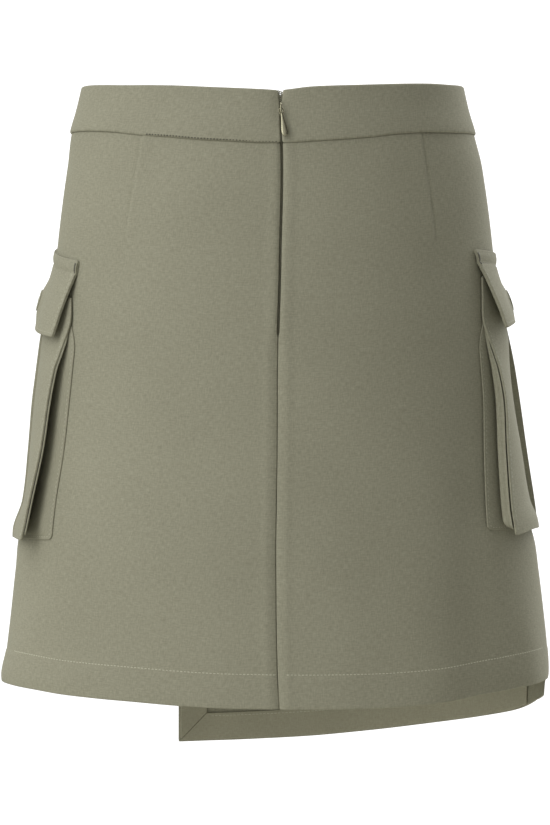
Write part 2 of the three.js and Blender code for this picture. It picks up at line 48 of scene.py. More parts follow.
CLOTH = 1.6  # one layer of heavy crepe
BAND = 3.2  # the waistband's two layers
BAND_PROUD = 1.3  # its outer face stands this far outside the panels
GAP = 0.3
SEAM_GAP = 0.15
ROUNDNESS = 2.1  # power of the section's superellipse

WAIST = dict(top=0.0, seam=-33.5, top_back=11.0, seam_back=14.5, top_front=12.0, seam_front=12.0)
HEM = dict(back=-432.5, back_dip=10.0, under=-414.0, under_dip=8.0)
WRAP = dict(edge_x=69.0, corner_z=-485.5, side_rise=30.0, side_kick=5.0, end_rise=8.0)
UNDER = dict(tuck=3.3, seam_tuck=1.9, ease=16.0, from_side=14.0, to_side=(302.0, 345.0))
FACING = dict(width=20.5, inset=1.0, thickness=1.1)
ZIP = dict(end=-182.0, tape_top=-14.0, tape_end=-192.0, tape_width=11.0, tape=0.7, half_slot=0.85)
NOTCH = dict(half=1.9, low=-24.0, high=-12.0, slider_half=0.95)

# The garment's sections, waist to hem: half of its width, and its depth behind and in front.
SECTIONS = dict(
    z=[0, -20, -34, -60, -100, -160, -230, -300, -337, -390, -432, -500],
    half=[136.8, 141.6, 145.4, 150.2, 155.7, 162.0, 169.8, 179.6, 187.4, 193.9, 197.4, 200.5],
    back=[99, 102, 105, 109, 114, 119, 123.5, 127.5, 130, 133.5, 136, 139],
    front=[97, 100, 102.5, 106.5, 111.5, 116.5, 121, 125, 127.5, 130.5, 133, 136],
)

# How the cloth hangs, by height: how far its sides sway towards +X, and how far they curl in.
HANG = dict(
    z=[0, -36, -60, -300, -328, -350, -405, -424, -434, -450, -500],
    sway=[1.5, 1.5, 0, 0, -0.1, -1.6, -1.6, -1.6, -1.6, -1.6, -1.6],
    curl_left=[0, 0, 0, 0, 0, 0, 0, -2.4, -1.4, -1.4, -1.4],
    curl_right=[0, 0, 0, 0, -1.9, 0, 0, 0.6, 2.8, 4.4, 4.4],
)

# The back's edges are cut and sewn by hand: how far each lies above its plain curve, by the distance
# from the middle as a share of half the width, right side first.
EDGE_LIFT = dict(
    x=[-1, -0.9, -0.8, -0.7, -0.57, -0.4, -0.2, -0.12, -0.06, 0, 0.08, 0.2, 0.36, 0.5, 0.65, 0.78, 0.9, 1],
    top=[-1.2, -0.4, 0.9, 1.8, 2.5, 2.9, 2.9, 2.3, 1.2, 0.4, 0.8, 1.3, 1.5, 1.4, 0.6, -0.5, -1.2, -1.8],
    seam=[-2.4, -0.8, 0.9, 2.3, 3.0, 2.2, 1.3, 0.8, 0.2, 0, 0, 0.5, 0.6, 1.1, 0.7, 0.9, 0, -1.4],
    hem=[3.6, 2.4, 1.1, 0.1, -1.6, -1.8, -0.9, -0.6, -0.4, -0.2, 0, 0, 0.3, 0.6, 0.2, 0.1, 1.2, 1.7],
)

# The centre back line, which wanders a little on its way down.
CENTRE = dict(
    z=[-15, -37, -60, -88, -117, -145, -172, -200, -262, -296, -331, -365, -392, -420, -440],
    x=[-0.8, -0.8, -1.5, -1.2, -0.3, 0.3, 1.2, 1.9, 2.3, 2.8, 3.4, 3.3, 3.1, 2.4, 1.3],
)

# Bellows pockets by height. seam: where the back edge is sewn on, from the middle of the skirt.
# edge, near, far: how far the outer panel stands off at its back edge and on each side of its pleat.
POCKET_ROWS = dict(
    left=dict(
        z=[-137, -150, -171, -183, -195, -206, -229, -263, -300, -318, -330],
        seam=[144.5, 144.2, 143.5, 143.2, 143.8, 144.9, 147.2, 150.9, 156.7, 158.7, 159.8],
        edge=[2.6, 2.7, 3.2, 5.6, 8.8, 11.6, 13.9, 15.2, 17.5, 19.0, 20.5],
        near=[2.2, 2.3, 3.4, 4.2, 4.4, 4.6, 4.7, 3.6, 2.5, 5.0, 3.6],
        far=[2.3, 2.6, 4.6, 5.6, 6.0, 6.2, 6.4, 4.8, 3.4, 5.8, 4.0],
    ),
    right=dict(
        z=[-137, -150, -171, -183, -195, -206, -229, -263, -300, -313, -330],
        seam=[143.5, 143.3, 142.8, 142.5, 143.0, 143.8, 145.3, 145.3, 146.1, 146.7, 148.1],
        edge=[2.6, 2.8, 3.4, 6.3, 9.4, 12.2, 14.6, 15.4, 16.6, 17.6, 18.2],
        near=[2.2, 2.4, 3.8, 4.5, 3.9, 3.3, 3.1, 4.4, 5.3, 8.0, 6.0],
        far=[2.3, 2.8, 5.6, 7.0, 8.2, 9.0, 9.8, 10.3, 10.6, 9.6, 6.5],
    ),
)
FLAP_ROWS = dict(
    left=dict(
        part=[0, 0.15, 0.35, 0.55, 0.75, 1],
        middle=[1.9, 1.7, 3.5, 6.0, 8.0, 10.2],
        end=[2.3, 3.2, 6.4, 9.4, 11.8, 14.6],
    ),
    right=dict(
        part=[0, 0.15, 0.35, 0.55, 0.75, 1],
        middle=[1.9, 1.4, 2.9, 5.4, 7.8, 10.9],
        end=[2.3, 4.2, 8.6, 12.4, 15.8, 19.0],
    ),
)
SIDES = [
    dict(name="left", sign=1, flap_top=-121.0, tilt=9.0, drop_middle=55.0, drop_end=53.5, mouth=-147.0,
         bottom=-327.0, droop=0.5, pleat=(0.085, 0.11), trench=0.025),
    dict(name="right", sign=-1, flap_top=-123.0, tilt=-1.5, drop_middle=49.0, drop_end=55.5, mouth=-142.0,
         bottom=-320.0, droop=3.6, pleat=(-0.17, -0.145), trench=0.25),
]
POCKET = dict(front_share=0.97, lip=3.0, corner=3.0)
FLAP = dict(half=59.0, rim=1.2, stitch=8.0)
BUTTON = dict(radius=8.0, thickness=1.3, z=-157.0, swell=1.9, sink=0.6)

# The zip: its slider's bridge stands out through the slot, and the pull hangs on it.
PULL = dict(pivot_z=-24.6, out=2.3, lean=-9.0, rest=13.0, drop=20.2, neck=1.0, half=2.75, thickness=2.0)
SLIDER = dict(half=3.7, top=-19.5, bottom=-30.0, depth=3.0, bridge=0.7, bridge_out=4.1)
COIL = dict(pitch=1.25, half=1.5, wire=0.34, top=-13.2, end=-190.0, depth=-3.8, depth_top=-2.1)

# ------------------------------------------------------------------------------ small helpers


def linear(hex_colour):
    """An sRGB hex colour as linear red, green, blue and alpha."""
    parts = [int(hex_colour[i:i + 2], 16) / 255 for i in (1, 3, 5)]
    return tuple(c / 12.92 if c <= 0.04045 else ((c + 0.055) / 1.055) ** 2.4 for c in parts) + (1.0,)


def mix(a, b, t):
    return a + (b - a) * t


def smooth(start, end, value):
    """0 before start, 1 after end, and an S-curve between them."""
    t = np.clip((value - start) / (end - start), 0, 1)
    return t * t * (3 - 2 * t)


def hump(value, centre, width):
    """A soft bell of height 1 at centre, falling to a third at one width from it."""
    return np.exp(-((value - centre) / width) ** 2)


def column(table, key, name, at):
    """One column of a table at a key: a cubic through its rows, with each row's slope taken from
    its two neighbours."""
    keys = np.array(table[key], float)
    values = np.array(table[name], float)
    if keys[0] > keys[-1]:
        keys, values = keys[::-1], values[::-1]
    before = np.maximum(np.arange(len(keys)) - 1, 0)
    after = np.minimum(np.arange(len(keys)) + 1, len(keys) - 1)
    slopes = (values[after] - values[before]) / (keys[after] - keys[before])
    k = np.clip(np.searchsorted(keys, at) - 1, 0, len(keys) - 2)
    span = keys[k + 1] - keys[k]
    t = np.clip((at - keys[k]) / span, 0, 1)
    a, b = values[k], values[k + 1]
    ma, mb = slopes[k] * span, slopes[k + 1] * span
    return a + t * ma + t**2 * (3 * (b - a) - 2 * ma - mb) + t**3 * (2 * (a - b) + ma + mb)


def unit(v):
    return v / np.maximum(np.linalg.norm(v, axis=-1, keepdims=True), 1e-12)


def dense(count, *places):
    """Parameters from 0 to 1, packed closer round some places. Each place is a centre, a width and
    how many times closer; the steps follow the running total of the wanted density."""
    t = np.linspace(0, 1, 4001)
    density = np.ones(len(t)) + sum((times - 1) * hump(t, centre, width) for centre, width, times in places)
    total = np.concatenate([[0], np.cumsum((density[1:] + density[:-1]) / 2)])
    return np.interp(np.linspace(0, 1, count), total / total[-1], t)


# ------------------------------------------------------------------------------ the garment's surface


def garment(angle, z):
    """A point on the garment: a superellipse section at each height, at an angle that is 0 at the
    left side seam and a quarter turn at the centre back."""
    c, s = np.cos(angle), np.sin(angle)
    half = column(SECTIONS, "z", "half", z)
    depth = np.where(s >= 0, column(SECTIONS, "z", "back", z), column(SECTIONS, "z", "front", z))
    x = np.sign(c) * np.abs(c) ** (2 / ROUNDNESS) * half
    to_side = (x / half) ** 2
    curl = np.where(x >= 0, column(HANG, "z", "curl_left", z), column(HANG, "z", "curl_right", z))
    x = x + (column(HANG, "z", "sway", z) - np.sign(x) * curl) * to_side
    y = np.sign(s) * np.abs(s) ** (2 / ROUNDNESS) * depth
    return np.stack([x, y, z + 0 * x], axis=-1)


def front_angle(x, z):
    """The angle at which the section's front half passes at a distance x from the middle."""
    half = column(SECTIONS, "z", "half", z)
    return 2 * math.pi - np.arccos(np.sign(x) * (np.abs(x) / half) ** (ROUNDNESS / 2))


def back_angle(x, z):
    """The same for the back half."""
    half = column(SECTIONS, "z", "half", z)
    return np.arccos(np.sign(x) * (np.abs(x) / half) ** (ROUNDNESS / 2))


def side_x(y, z):
    """The garment's distance from the middle at a depth y."""
    depth = np.where(y >= 0, column(SECTIONS, "z", "back", z), column(SECTIONS, "z", "front", z))
    inside = 1 - np.minimum(1, np.abs(y) / depth) ** ROUNDNESS
    return column(SECTIONS, "z", "half", z) * inside ** (1 / ROUNDNESS)


def back_y(x, z):
    """The depth behind the side seam at which the garment lies a distance x from the middle."""
    half = column(SECTIONS, "z", "half", z)
    return column(SECTIONS, "z", "back", z) * (1 - (x / half) ** ROUNDNESS) ** (1 / ROUNDNESS)


def edge_lift(edge, angle):
    """How far an edge of the back lies above its plain curve; round in front this fades away."""
    fade = 1 - smooth(0, 0.5, -np.sin(angle))
    return column(EDGE_LIFT, "x", edge, np.cos(angle)) * fade


def edge_height(level, back_dip, front_dip, edge=None):
    """An edge's height at each angle: its level at the sides, less a dip towards the centres, and
    plus its own lift."""
    def height(angle):
        s = np.sin(angle)
        lift = edge_lift(edge, angle) if edge else 0
        return level - np.where(s >= 0, back_dip, front_dip) * s**2 + lift
    return height


waist_top = edge_height(WAIST["top"], WAIST["top_back"], WAIST["top_front"], "top")
waist_seam = edge_height(WAIST["seam"], WAIST["seam_back"], WAIST["seam_front"], "seam")
under_hem = edge_height(HEM["under"], HEM["under_dip"], HEM["under_dip"])


def back_hem(angle):
    """The back's hem: a flat curve that dips towards the centre, plus its own lift."""
    return HEM["back"] - HEM["back_dip"] * np.abs(np.sin(angle)) ** 3 + edge_lift("hem", angle)


def wrap_hem(angle):
    """The wrap's hem: lowest at the free corner, rising towards the right side seam."""
    half_low = column(SECTIONS, "z", "half", WRAP["corner_z"])
    half_hem = column(SECTIONS, "z", "half", HEM["back"])
    t = np.clip((WRAP["edge_x"] - half_low * np.cos(angle)) / (WRAP["edge_x"] + half_hem), 0, 1)
    end = (1 - np.minimum(1, np.abs(np.sin(angle)) / 0.45)) ** 2 * (np.cos(angle) < 0)
    return WRAP["corner_z"] + WRAP["side_rise"] * t**2 + WRAP["side_kick"] * t**20 + WRAP["end_rise"] * end


def centre_x(z):
    """The centre back line's distance from the middle at a height."""
    return column(CENTRE, "z", "x", z)


def half_slot(z):
    """Half of the gap between the two back pieces: a seam, the zip's slot, or the notch on top."""
    around = mix(ZIP["half_slot"], NOTCH["slider_half"], smooth(-60, -34, z))
    slot = mix(around, NOTCH["half"], smooth(NOTCH["low"], NOTCH["high"], z))
    return np.where(z < ZIP["end"], SEAM_GAP, slot)


def settle(angle_at, height_at):
    """A place given by a rule for its angle at each height and one for its height at each angle:
    the two are worked out in turn until they agree."""
    angle = angle_at(HEM["back"])
    for _ in range(5):
        z = height_at(angle)
        angle = angle_at(z)
    return garment(angle, z)


def moved(surface, u, v, out):
    """Points of a surface moved out along its normal. Surfaces run counter-clockwise round the
    garment and downwards, so the normal is the downward step crossed with the sideways one."""
    e = 1e-3
    across = surface(u + e, v) - surface(u - e, v)
    down = surface(u, v + e) - surface(u, v - e)
    return surface(u, v) + unit(np.cross(down, across)) * np.asarray(out)[..., None]


# ------------------------------------------------------------------------------ meshes


def make_mesh(name, *parts):
    """One smooth mesh from parts, each of them points in millimetres, quads of their indices, and
    UVs in millimetres."""
    offset, points, quads, uvs = 0, [], [], []
    for part_points, part_quads, part_uvs in parts:
        points.append(np.asarray(part_points, float).reshape(-1, 3))
        quads.append(np.asarray(part_quads, int).reshape(-1, 4) + offset)
        uvs.append(np.asarray(part_uvs, float).reshape(-1, 2))
        offset += len(points[-1])
    points, quads, uvs = np.concatenate(points), np.concatenate(quads), np.concatenate(uvs)
    mesh = bpy.data.meshes.new(name)
    mesh.vertices.add(len(points))
    mesh.vertices.foreach_set("co", (points * MM).ravel())
    mesh.loops.add(quads.size)
    mesh.loops.foreach_set("vertex_index", quads.ravel())
    mesh.polygons.add(len(quads))
    mesh.polygons.foreach_set("loop_start", np.arange(0, quads.size, 4))
    mesh.polygons.foreach_set("use_smooth", np.ones(len(quads), bool))
    layer = mesh.uv_layers.new(name="cloth")
    layer.data.foreach_set("uv", (uvs * MM)[quads.ravel()].ravel())
    mesh.update(calc_edges=True)
    mesh.validate()
    return mesh


def grid_quads(m, n, offset=0, flip=False):
    """Quads of a grid of m by n points, facing along the downward step crossed with the sideways one."""
    i, j = np.meshgrid(np.arange(m - 1), np.arange(n - 1), indexing="ij")
    a = offset + i * n + j
    quads = np.stack([a, a + 1, a + n + 1, a + n], axis=-1).reshape(-1, 4)
    return quads[:, ::-1] if flip else quads


def cloth_uv(points):
    """UVs in millimetres of cloth: how far each point is along its row and along its column."""
    across = np.linalg.norm(np.diff(points, axis=0), axis=-1)
    down = np.linalg.norm(np.diff(points, axis=1), axis=-1)
    u = np.concatenate([np.zeros((1, points.shape[1])), np.cumsum(across, axis=0)])
    v = np.concatenate([np.zeros((points.shape[0], 1)), np.cumsum(down, axis=1)], axis=1)
    return np.stack([u, -v], axis=-1)


def shell(surface, us, vs, out, inn, height=None, rim=5, groove=0.0):
    """A closed wall of cloth. Its outer and inner faces are the surface moved along its normals by
    out and inn, plus a height for creases and seams at each point, and they are joined by a rounded
    rim: half circles that lean out along the surface, past its edge. A groove pinches the middle of
    the rim, where two layers of cloth meet."""
    u, v = np.meshgrid(us, vs, indexing="ij")
    base = surface(u, v)
    bump = 0 if height is None else height(base)
    outer = moved(surface, u, v, (out(u, v) if callable(out) else out) + bump)
    inner = moved(surface, u, v, (inn(u, v) if callable(inn) else inn) + bump)
    m, n = u.shape
    ring = np.concatenate([
        np.arange(m) * n, (m - 1) * n + np.arange(1, n), np.arange(m - 2, -1, -1) * n + n - 1,
        np.arange(n - 2, 0, -1),
    ])
    away = np.zeros((m, n, 3))
    away[0, :] += unit(base[0] - base[1])
    away[-1, :] += unit(base[-1] - base[-2])
    away[:, 0] += unit(base[:, 0] - base[:, 1])
    away[:, -1] += unit(base[:, -1] - base[:, -2])
    away = unit(away).reshape(-1, 3)[ring]
    top, low = outer.reshape(-1, 3)[ring], inner.reshape(-1, 3)[ring]
    half = (top - low) / 2
    radius = np.linalg.norm(half, axis=-1, keepdims=True)
    turns = np.linspace(0, math.pi, rim + 1)[1:-1]
    bulge = np.sin(turns) * (1 - groove * hump(turns, math.pi / 2, 0.3))
    rings = [(top + low) / 2 + half * math.cos(t) + away * radius * b for t, b in zip(turns, bulge)]
    points = np.concatenate([outer.reshape(-1, 3), inner.reshape(-1, 3)] + rings)
    uv = cloth_uv(base).reshape(-1, 2)
    uvs = np.concatenate([uv, uv] + [uv[ring]] * len(rings))
    loops = [ring] + [2 * m * n + k * len(ring) + np.arange(len(ring)) for k in range(len(rings))]
    loops.append(m * n + ring)
    quads = [grid_quads(m, n), grid_quads(m, n, m * n, flip=True)]
    for a, b in zip(loops[:-1], loops[1:]):
        quads.append(np.stack([a, np.roll(a, -1), np.roll(b, -1), b], axis=-1))
    return points, np.concatenate(quads), uvs


def tube(path, radius, sides=8):
    """A round rod with closed ends along a path of points; radius may differ from point to point."""
    along = unit(np.gradient(path, axis=0))
    guide = np.where(np.abs(along[:, 2:3]) < 0.9, [[0.0, 0.0, 1.0]], [[1.0, 0.0, 0.0]])
    right = unit(np.cross(along, guide))
    up = np.cross(right, along)
    turns = np.linspace(0, 2 * math.pi, sides, endpoint=False)
    radius = np.broadcast_to(np.asarray(radius, float), (len(path),))
    spokes = np.cos(turns)[None, :, None] * right[:, None] + np.sin(turns)[None, :, None] * up[:, None]
    points = path[:, None] + spokes * radius[:, None, None]
    caps = [np.repeat(path[:1], sides, axis=0)[None], points, np.repeat(path[-1:], sides, axis=0)[None]]
    points = np.concatenate(caps)
    rows, k = points.shape[0], np.arange(sides)
    start = np.arange(rows - 1)[:, None] * sides
    a, b = start + k, start + (k + 1) % sides
    quads = np.stack([a, a + sides, b + sides, b], axis=-1).reshape(-1, 4)
    return points.reshape(-1, 3), quads, points.reshape(-1, 3)[:, :2]


def repeated(part, places, frames):
    """Copies of a small part, one at each place, turned by that place's frame of three unit rows."""
    points, quads, uvs = part
    count = len(places)
    moved_points = np.einsum("pk,nkx->npx", points, frames) + places[:, None]
    offsets = np.arange(count)[:, None, None] * len(points)
    return moved_points.reshape(-1, 3), (quads[None] + offsets).reshape(-1, 4), np.tile(uvs, (count, 1))


def lathe(profile, count=40):
    """A solid of revolution about +Z, from a profile of radius and height whose ends lie on the axis."""
    profile = np.asarray(profile, float)
    turns = np.linspace(0, 2 * math.pi, count, endpoint=False)
    ring = np.stack([np.cos(turns), np.sin(turns)], axis=-1)
    points = np.concatenate([profile[:, None, :1] * ring, np.repeat(profile[:, None, 1:], count, axis=1)], axis=-1)
    start, k = np.arange(len(profile) - 1)[:, None] * count, np.arange(count)
    a, b = start + k, start + (k + 1) % count
    quads = np.stack([a, b, b + count, a + count], axis=-1).reshape(-1, 4)
    return points.reshape(-1, 3), quads, points.reshape(-1, 3)[:, :2]


def stitches(surface, u, v, lift, pitch=3.1, length=2.3, radius=0.26, height=None, start=0.0, sink=0.12, face=1):
    """A row of thread stitches along a line drawn on a surface: each a short rod that dips into the
    cloth at both ends. They are set at equal steps of the line's length. face is -1 for a row on
    the cloth's inner face."""
    base = surface(u, v)
    bump = 0 if height is None else height(base)
    line = moved(surface, u, v, lift + bump)
    out = unit(moved(surface, u, v, lift + 1.0 + bump) - line)
    run = np.concatenate([[0], np.cumsum(np.linalg.norm(np.diff(line, axis=0), axis=-1))])
    at = np.arange(start + pitch / 2, run[-1], pitch)
    place = np.stack([np.interp(at, run, line[:, k]) for k in range(3)], axis=-1)
    normal = unit(np.stack([np.interp(at, run, out[:, k]) for k in range(3)], axis=-1))
    slope = np.gradient(line, run, axis=0)
    along = unit(np.stack([np.interp(at, run, slope[:, k]) for k in range(3)], axis=-1))
    frames = np.stack([along, np.cross(normal, along), normal], axis=1)
    t = np.linspace(-1, 1, 7)
    rod = np.stack([t * length / 2, 0 * t, -face * (sink + radius * 1.3 * t**4)], axis=-1)
    return repeated(tube(rod, radius, 6), place, frames)


# ------------------------------------------------------------------------------ materials


def add(tree, kind, settings=None, **inputs):
    """Adds a node, sets its settings, and gives each input a value or a link."""
    node = tree.nodes.new(kind)
    for key, value in (settings or {}).items():
        setattr(node, key, value)
    for key, value in inputs.items():
        socket = node.inputs[int(key[1:]) if key[0] == "i" and key[1:].isdigit() else key.replace("_", " ")]
        if isinstance(value, bpy.types.NodeSocket):
            tree.links.new(value, socket)
        else:
            socket.default_value = value
    return node


def material(name, build):
    """A material whose node tree is made by build, which returns the surface shader's output."""
    made = bpy.data.materials.new(name)
    made.use_nodes = True
    tree = made.node_tree
    tree.nodes.clear()
    shader = build(tree)
    add(tree, "ShaderNodeOutputMaterial", Surface=shader)
    return made


def crepe(name, colour, shade):
    """Heavy double-weave crepe, spun yarn: matt, with a faint nap that lightens grazing edges. Its
    yarns are about 0.5 mm apart, drawn at 0.9 mm so that they show, with a faint grain and slow
    clouds of tone over them."""
    def build(tree):
        cloth = add(tree, "ShaderNodeUVMap", {"uv_map": "cloth"}).outputs["UV"]
        warp_place = add(tree, "ShaderNodeMapping", Vector=cloth, Scale=(1100, 260, 1)).outputs["Vector"]
        weft_place = add(tree, "ShaderNodeMapping", Vector=cloth, Scale=(260, 1100, 1)).outputs["Vector"]
        warp = add(tree, "ShaderNodeTexNoise", Vector=warp_place, Scale=1.0, Detail=1.0).outputs["Fac"]
        weft = add(tree, "ShaderNodeTexNoise", Vector=weft_place, Scale=1.0, Detail=1.0).outputs["Fac"]
        yarns = add(tree, "ShaderNodeMath", {"operation": "ADD"}, i0=warp, i1=weft).outputs[0]
        clouds = add(tree, "ShaderNodeTexNoise", Vector=cloth, Scale=11.0, Detail=3.0).outputs["Fac"]
        tone = add(tree, "ShaderNodeMath", {"operation": "MULTIPLY_ADD"}, i0=clouds, i1=0.5, i2=yarns).outputs[0]
        level = add(tree, "ShaderNodeMapRange", Value=tone, i1=0.85, i2=1.65, i3=0.0, i4=1.0).outputs[0]
        tint = add(tree, "ShaderNodeMix", {"data_type": "RGBA"}, i0=level, i6=linear(shade), i7=linear(colour))
        bump = add(tree, "ShaderNodeBump", Height=yarns, Strength=0.3, Distance=0.0002).outputs["Normal"]
        cloth_shader = add(
            tree, "ShaderNodeBsdfPrincipled", Base_Color=tint.outputs[2], Normal=bump, Roughness=0.86,
            Specular_IOR_Level=0.25, Sheen_Weight=0.08, Sheen_Roughness=0.45, Sheen_Tint=linear("#c9c8b4"),
        )
        return cloth_shader.outputs["BSDF"]
    return material(name, build)


def thread(name, colour):
    """Spun polyester sewing thread: a little shinier than the cloth, with a fine twist."""
    def build(tree):
        place = add(tree, "ShaderNodeTexCoord").outputs["Object"]
        twist = add(tree, "ShaderNodeTexNoise", Vector=place, Scale=2500.0, Detail=1.0).outputs["Fac"]
        bump = add(tree, "ShaderNodeBump", Height=twist, Strength=0.4, Distance=0.0001).outputs["Normal"]
        shader = add(tree, "ShaderNodeBsdfPrincipled", Base_Color=linear(colour), Normal=bump, Roughness=0.6)
        return shader.outputs["BSDF"]
    return material(name, build)


def painted_metal(name, colour):
    """Die-cast zinc, spray painted in the cloth's colour: satin, with a faint orange peel."""
    def build(tree):
        place = add(tree, "ShaderNodeTexCoord").outputs["Object"]
        peel = add(tree, "ShaderNodeTexNoise", Vector=place, Scale=1500.0, Detail=2.0).outputs["Fac"]
        bump = add(tree, "ShaderNodeBump", Height=peel, Strength=0.15, Distance=0.0001).outputs["Normal"]
        rough = add(tree, "ShaderNodeMapRange", Value=peel, i3=0.16, i4=0.3).outputs[0]
        shader = add(
            tree, "ShaderNodeBsdfPrincipled", Base_Color=linear(colour), Normal=bump, Roughness=rough,
            Metallic=0.85, Coat_Weight=0.5, Coat_Roughness=0.12,
        )
        return shader.outputs["BSDF"]
    return material(name, build)


def resin(name, colour):
    """Cast polyester button resin: semi-matt, with a slightly cloudy depth."""
    def build(tree):
        place = add(tree, "ShaderNodeTexCoord").outputs["Object"]
        cloud = add(tree, "ShaderNodeTexNoise", Vector=place, Scale=220.0, Detail=4.0).outputs["Fac"]
        tint = add(tree, "ShaderNodeMix", {"data_type": "RGBA"}, i0=cloud, i6=linear(colour), i7=linear("#9a9983"))
        shader = add(tree, "ShaderNodeBsdfPrincipled", Base_Color=tint.outputs[2], Roughness=0.38, IOR=1.55)
        return shader.outputs["BSDF"]
    return material(name, build)


def studio_paint(name, colour):
    """Matt emulsion on a studio floor, with the faint mottle of a roller."""
    def build(tree):
        place = add(tree, "ShaderNodeTexCoord").outputs["Object"]
        mottle = add(tree, "ShaderNodeTexNoise", Vector=place, Scale=6.0, Detail=6.0).outputs["Fac"]
        rough = add(tree, "ShaderNodeMapRange", Value=mottle, i3=0.7, i4=0.85).outputs[0]
        shader = add(tree, "ShaderNodeBsdfPrincipled", Base_Color=linear(colour), Roughness=rough)
        return shader.outputs["BSDF"]
    return material(name, build)


CREPE = crepe("crepe_sage_khaki", "#9d9b87", "#888673")
# The facings' crepe is lighter than the outer crepe as painted light: it stands in for the light that reaches the
# inside of the wrap.
CREPE_FACINGS_PAINTED_LIGHT = crepe("crepe_facings_painted_light", "#a9a690", "#999682")
# The zip tape is woven; its dark colour is painted shade, so that the slot in front of it reads dark.
TAPE_PAINTED_SHADE = crepe("zip_tape_woven_painted_shade", "#62604f", "#504e40")
THREAD = thread("thread_light_khaki", "#bdbba5")
# One dark colour: for the flaps' dark stitches, and as painted shade for the dark rods in the waist seam and the discs
# in the button's holes.
DARK_THREAD_AND_PAINTED_SHADE = thread("dark_thread_and_painted_shade", "#5a584a")
METAL = painted_metal("zip_metal_painted_khaki", "#9d997f")
COIL_NYLON = thread("zip_coil_nylon", "#8f8d79")
RESIN = resin("button_resin_khaki", "#8f8d78")


def dress(name, parts, finish, nodes=(), body="skirt"):
    """Puts a piece in the scene, made of one or more parts: it rides on a body, stands for some CAD
    nodes, which it hides, and takes the material it is given as its finish."""
    mesh = make_mesh(name, *parts)
    piece = bpy.data.objects.new(name, mesh)
    bpy.context.scene.collection.objects.link(piece)
    mesh.materials.append(finish)
    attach(piece, body)
    if nodes:
        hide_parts(*nodes)
    return piece


def cut_of(width, length):
    """Takes a cloth piece's cut size, width and length in millimetres, and turns it into metres;
    nothing more is done with it."""
    width, length = width * MM, length * MM


# ------------------------------------------------------------------------------ creases and seams

# Soft troughs and ridges: where each lies at its top and low ends, how wide it is
# and how far it stands out, or in, below zero.
BACK_FOLDS = dict(
    x0=[-128, -172, 118, 40, -60, 166],
    x1=[-142, -184, 140, 52, -78, 182],
    top=[-150, -345, -250, -300, -280, -345],
    low=[-440, -440, -445, -445, -445, -440],
    width=[17, 11, 22, 26, 24, 10],
    depth=[-2.4, 1.6, -1.0, 0.8, -0.9, 1.2],
)
FRONT_FOLDS = dict(
    x0=[-20, 35, -95, 100, -140],
    x1=[-34, 48, -118, 122, -158],
    top=[-230, -260, -200, -240, -300],
    low=[-470, -480, -460, -430, -450],
    width=[24, 17, 21, 20, 14],
    depth=[-2.0, 1.6, 1.8, -1.6, -1.5],
)
DARTS = dict(x0=[95.5, -101.0], z0=[-41, -41], x1=[108.5, -111.5], z1=[-119, -123])


def rows_of(table):
    """The rows of a table of columns."""
    return [dict(zip(table, row)) for row in zip(*table.values())]


def folds(points, table):
    """The sum of a table of folds: each is a bell across its line, and fades in down its length."""
    x, z = points[..., 0], points[..., 2]
    total = np.zeros(x.shape)
    for fold in rows_of(table):
        t = (z - fold["top"]) / (fold["low"] - fold["top"])
        line = mix(fold["x0"], fold["x1"], np.clip(t, 0, 1))
        total += fold["depth"] * hump(x, line, fold["width"]) * smooth(0, 0.6, t)
    return total


def darts(points):
    """Each dart: a stitched ditch with the tuck's soft ridge beside it, towards the centre, and a
    shallow dimple where it runs out."""
    x, z = points[..., 0], points[..., 2]
    total = np.zeros(x.shape)
    for d in rows_of(DARTS):
        t = (z - d["z0"]) / (d["z1"] - d["z0"])
        away = np.sign(d["x0"]) * (x - mix(d["x0"], d["x1"], t))
        on = smooth(-0.05, 0.02, t) * (1 - smooth(0.75, 1.02, t))
        total += on * (0.55 * smooth(1.2, -0.2, away) * hump(np.minimum(away, 0), 0, 7) - 0.7 * hump(away, 1.0, 0.8))
        total -= 0.6 * hump(away, 0, 9) * hump(t, 1.1, 0.16)
    return total


def hem_at(points):
    """The height of the back hem at a point's distance from the middle."""
    share = np.clip(points[..., 0] / column(SECTIONS, "z", "half", HEM["back"]), -1, 1)
    return back_hem(np.arccos(np.sign(share) * np.abs(share) ** (ROUNDNESS / 2)))


def back_height(points):
    """Creases, darts, the pressed ditch beside the centre seam, the zip's slight ridge beside the
    slot, and the hem's turned-up layer, which shows as a slight step above the edge."""
    x, z = points[..., 0], points[..., 2]
    from_centre = np.abs(x - centre_x(z))
    over_hem = z - hem_at(points)
    ease = 0.3 * smooth(HEM_STITCH + 3, HEM_STITCH - 1, over_hem)
    stitch = -0.35 * hump(over_hem, HEM_STITCH, 1.3)
    seam = -0.75 * hump(from_centre, 0, 2.2) - 0.35 * hump(from_centre, 0, 5.0) + 0.3 * hump(from_centre, 7.0, 3.0)
    zip_ridge = 0.5 * hump(from_centre, 3.0, 3.2) * smooth(ZIP["end"] - 12, ZIP["end"] + 6, z)
    return folds(points, BACK_FOLDS) + darts(points) + ease + stitch + seam + zip_ridge


def front_height(points):
    """The front's soft creases."""
    return folds(points, FRONT_FOLDS)


def band_height(points):
    """The band's faint unevenness over the turnings inside it, and its roll inwards at the slot."""
    x, z = points[..., 0], points[..., 2]
    slot = np.where(points[..., 1] > 0, 0.9 * hump(x, 0, 4.0) + 0.5 * hump(x, 0, 9.0), 0)
    return 0.22 * np.sin(x / 23 + 1.3) * np.sin(z / 9) + 0.12 * np.sin(x / 9.5) - slot * smooth(-44, -26, z)


HEM_STITCH = 24.0
RIM = CLOTH / 2
BAND_RIM = BAND / 2

# ------------------------------------------------------------------------------ waistband and panels


def between(top, low):
    """A rule for the height at each angle: a share of the way from one edge to another."""
    return lambda angle, v: mix(top(angle), low(angle), v)


def stretch(angle_at, height_at):
    """A stretch of the garment as a surface of two parameters."""
    return lambda u, v: settle(lambda z: angle_at(u, z), lambda angle: height_at(angle, v))


def lowered(edge, distance):
    return lambda angle: edge(angle) - distance


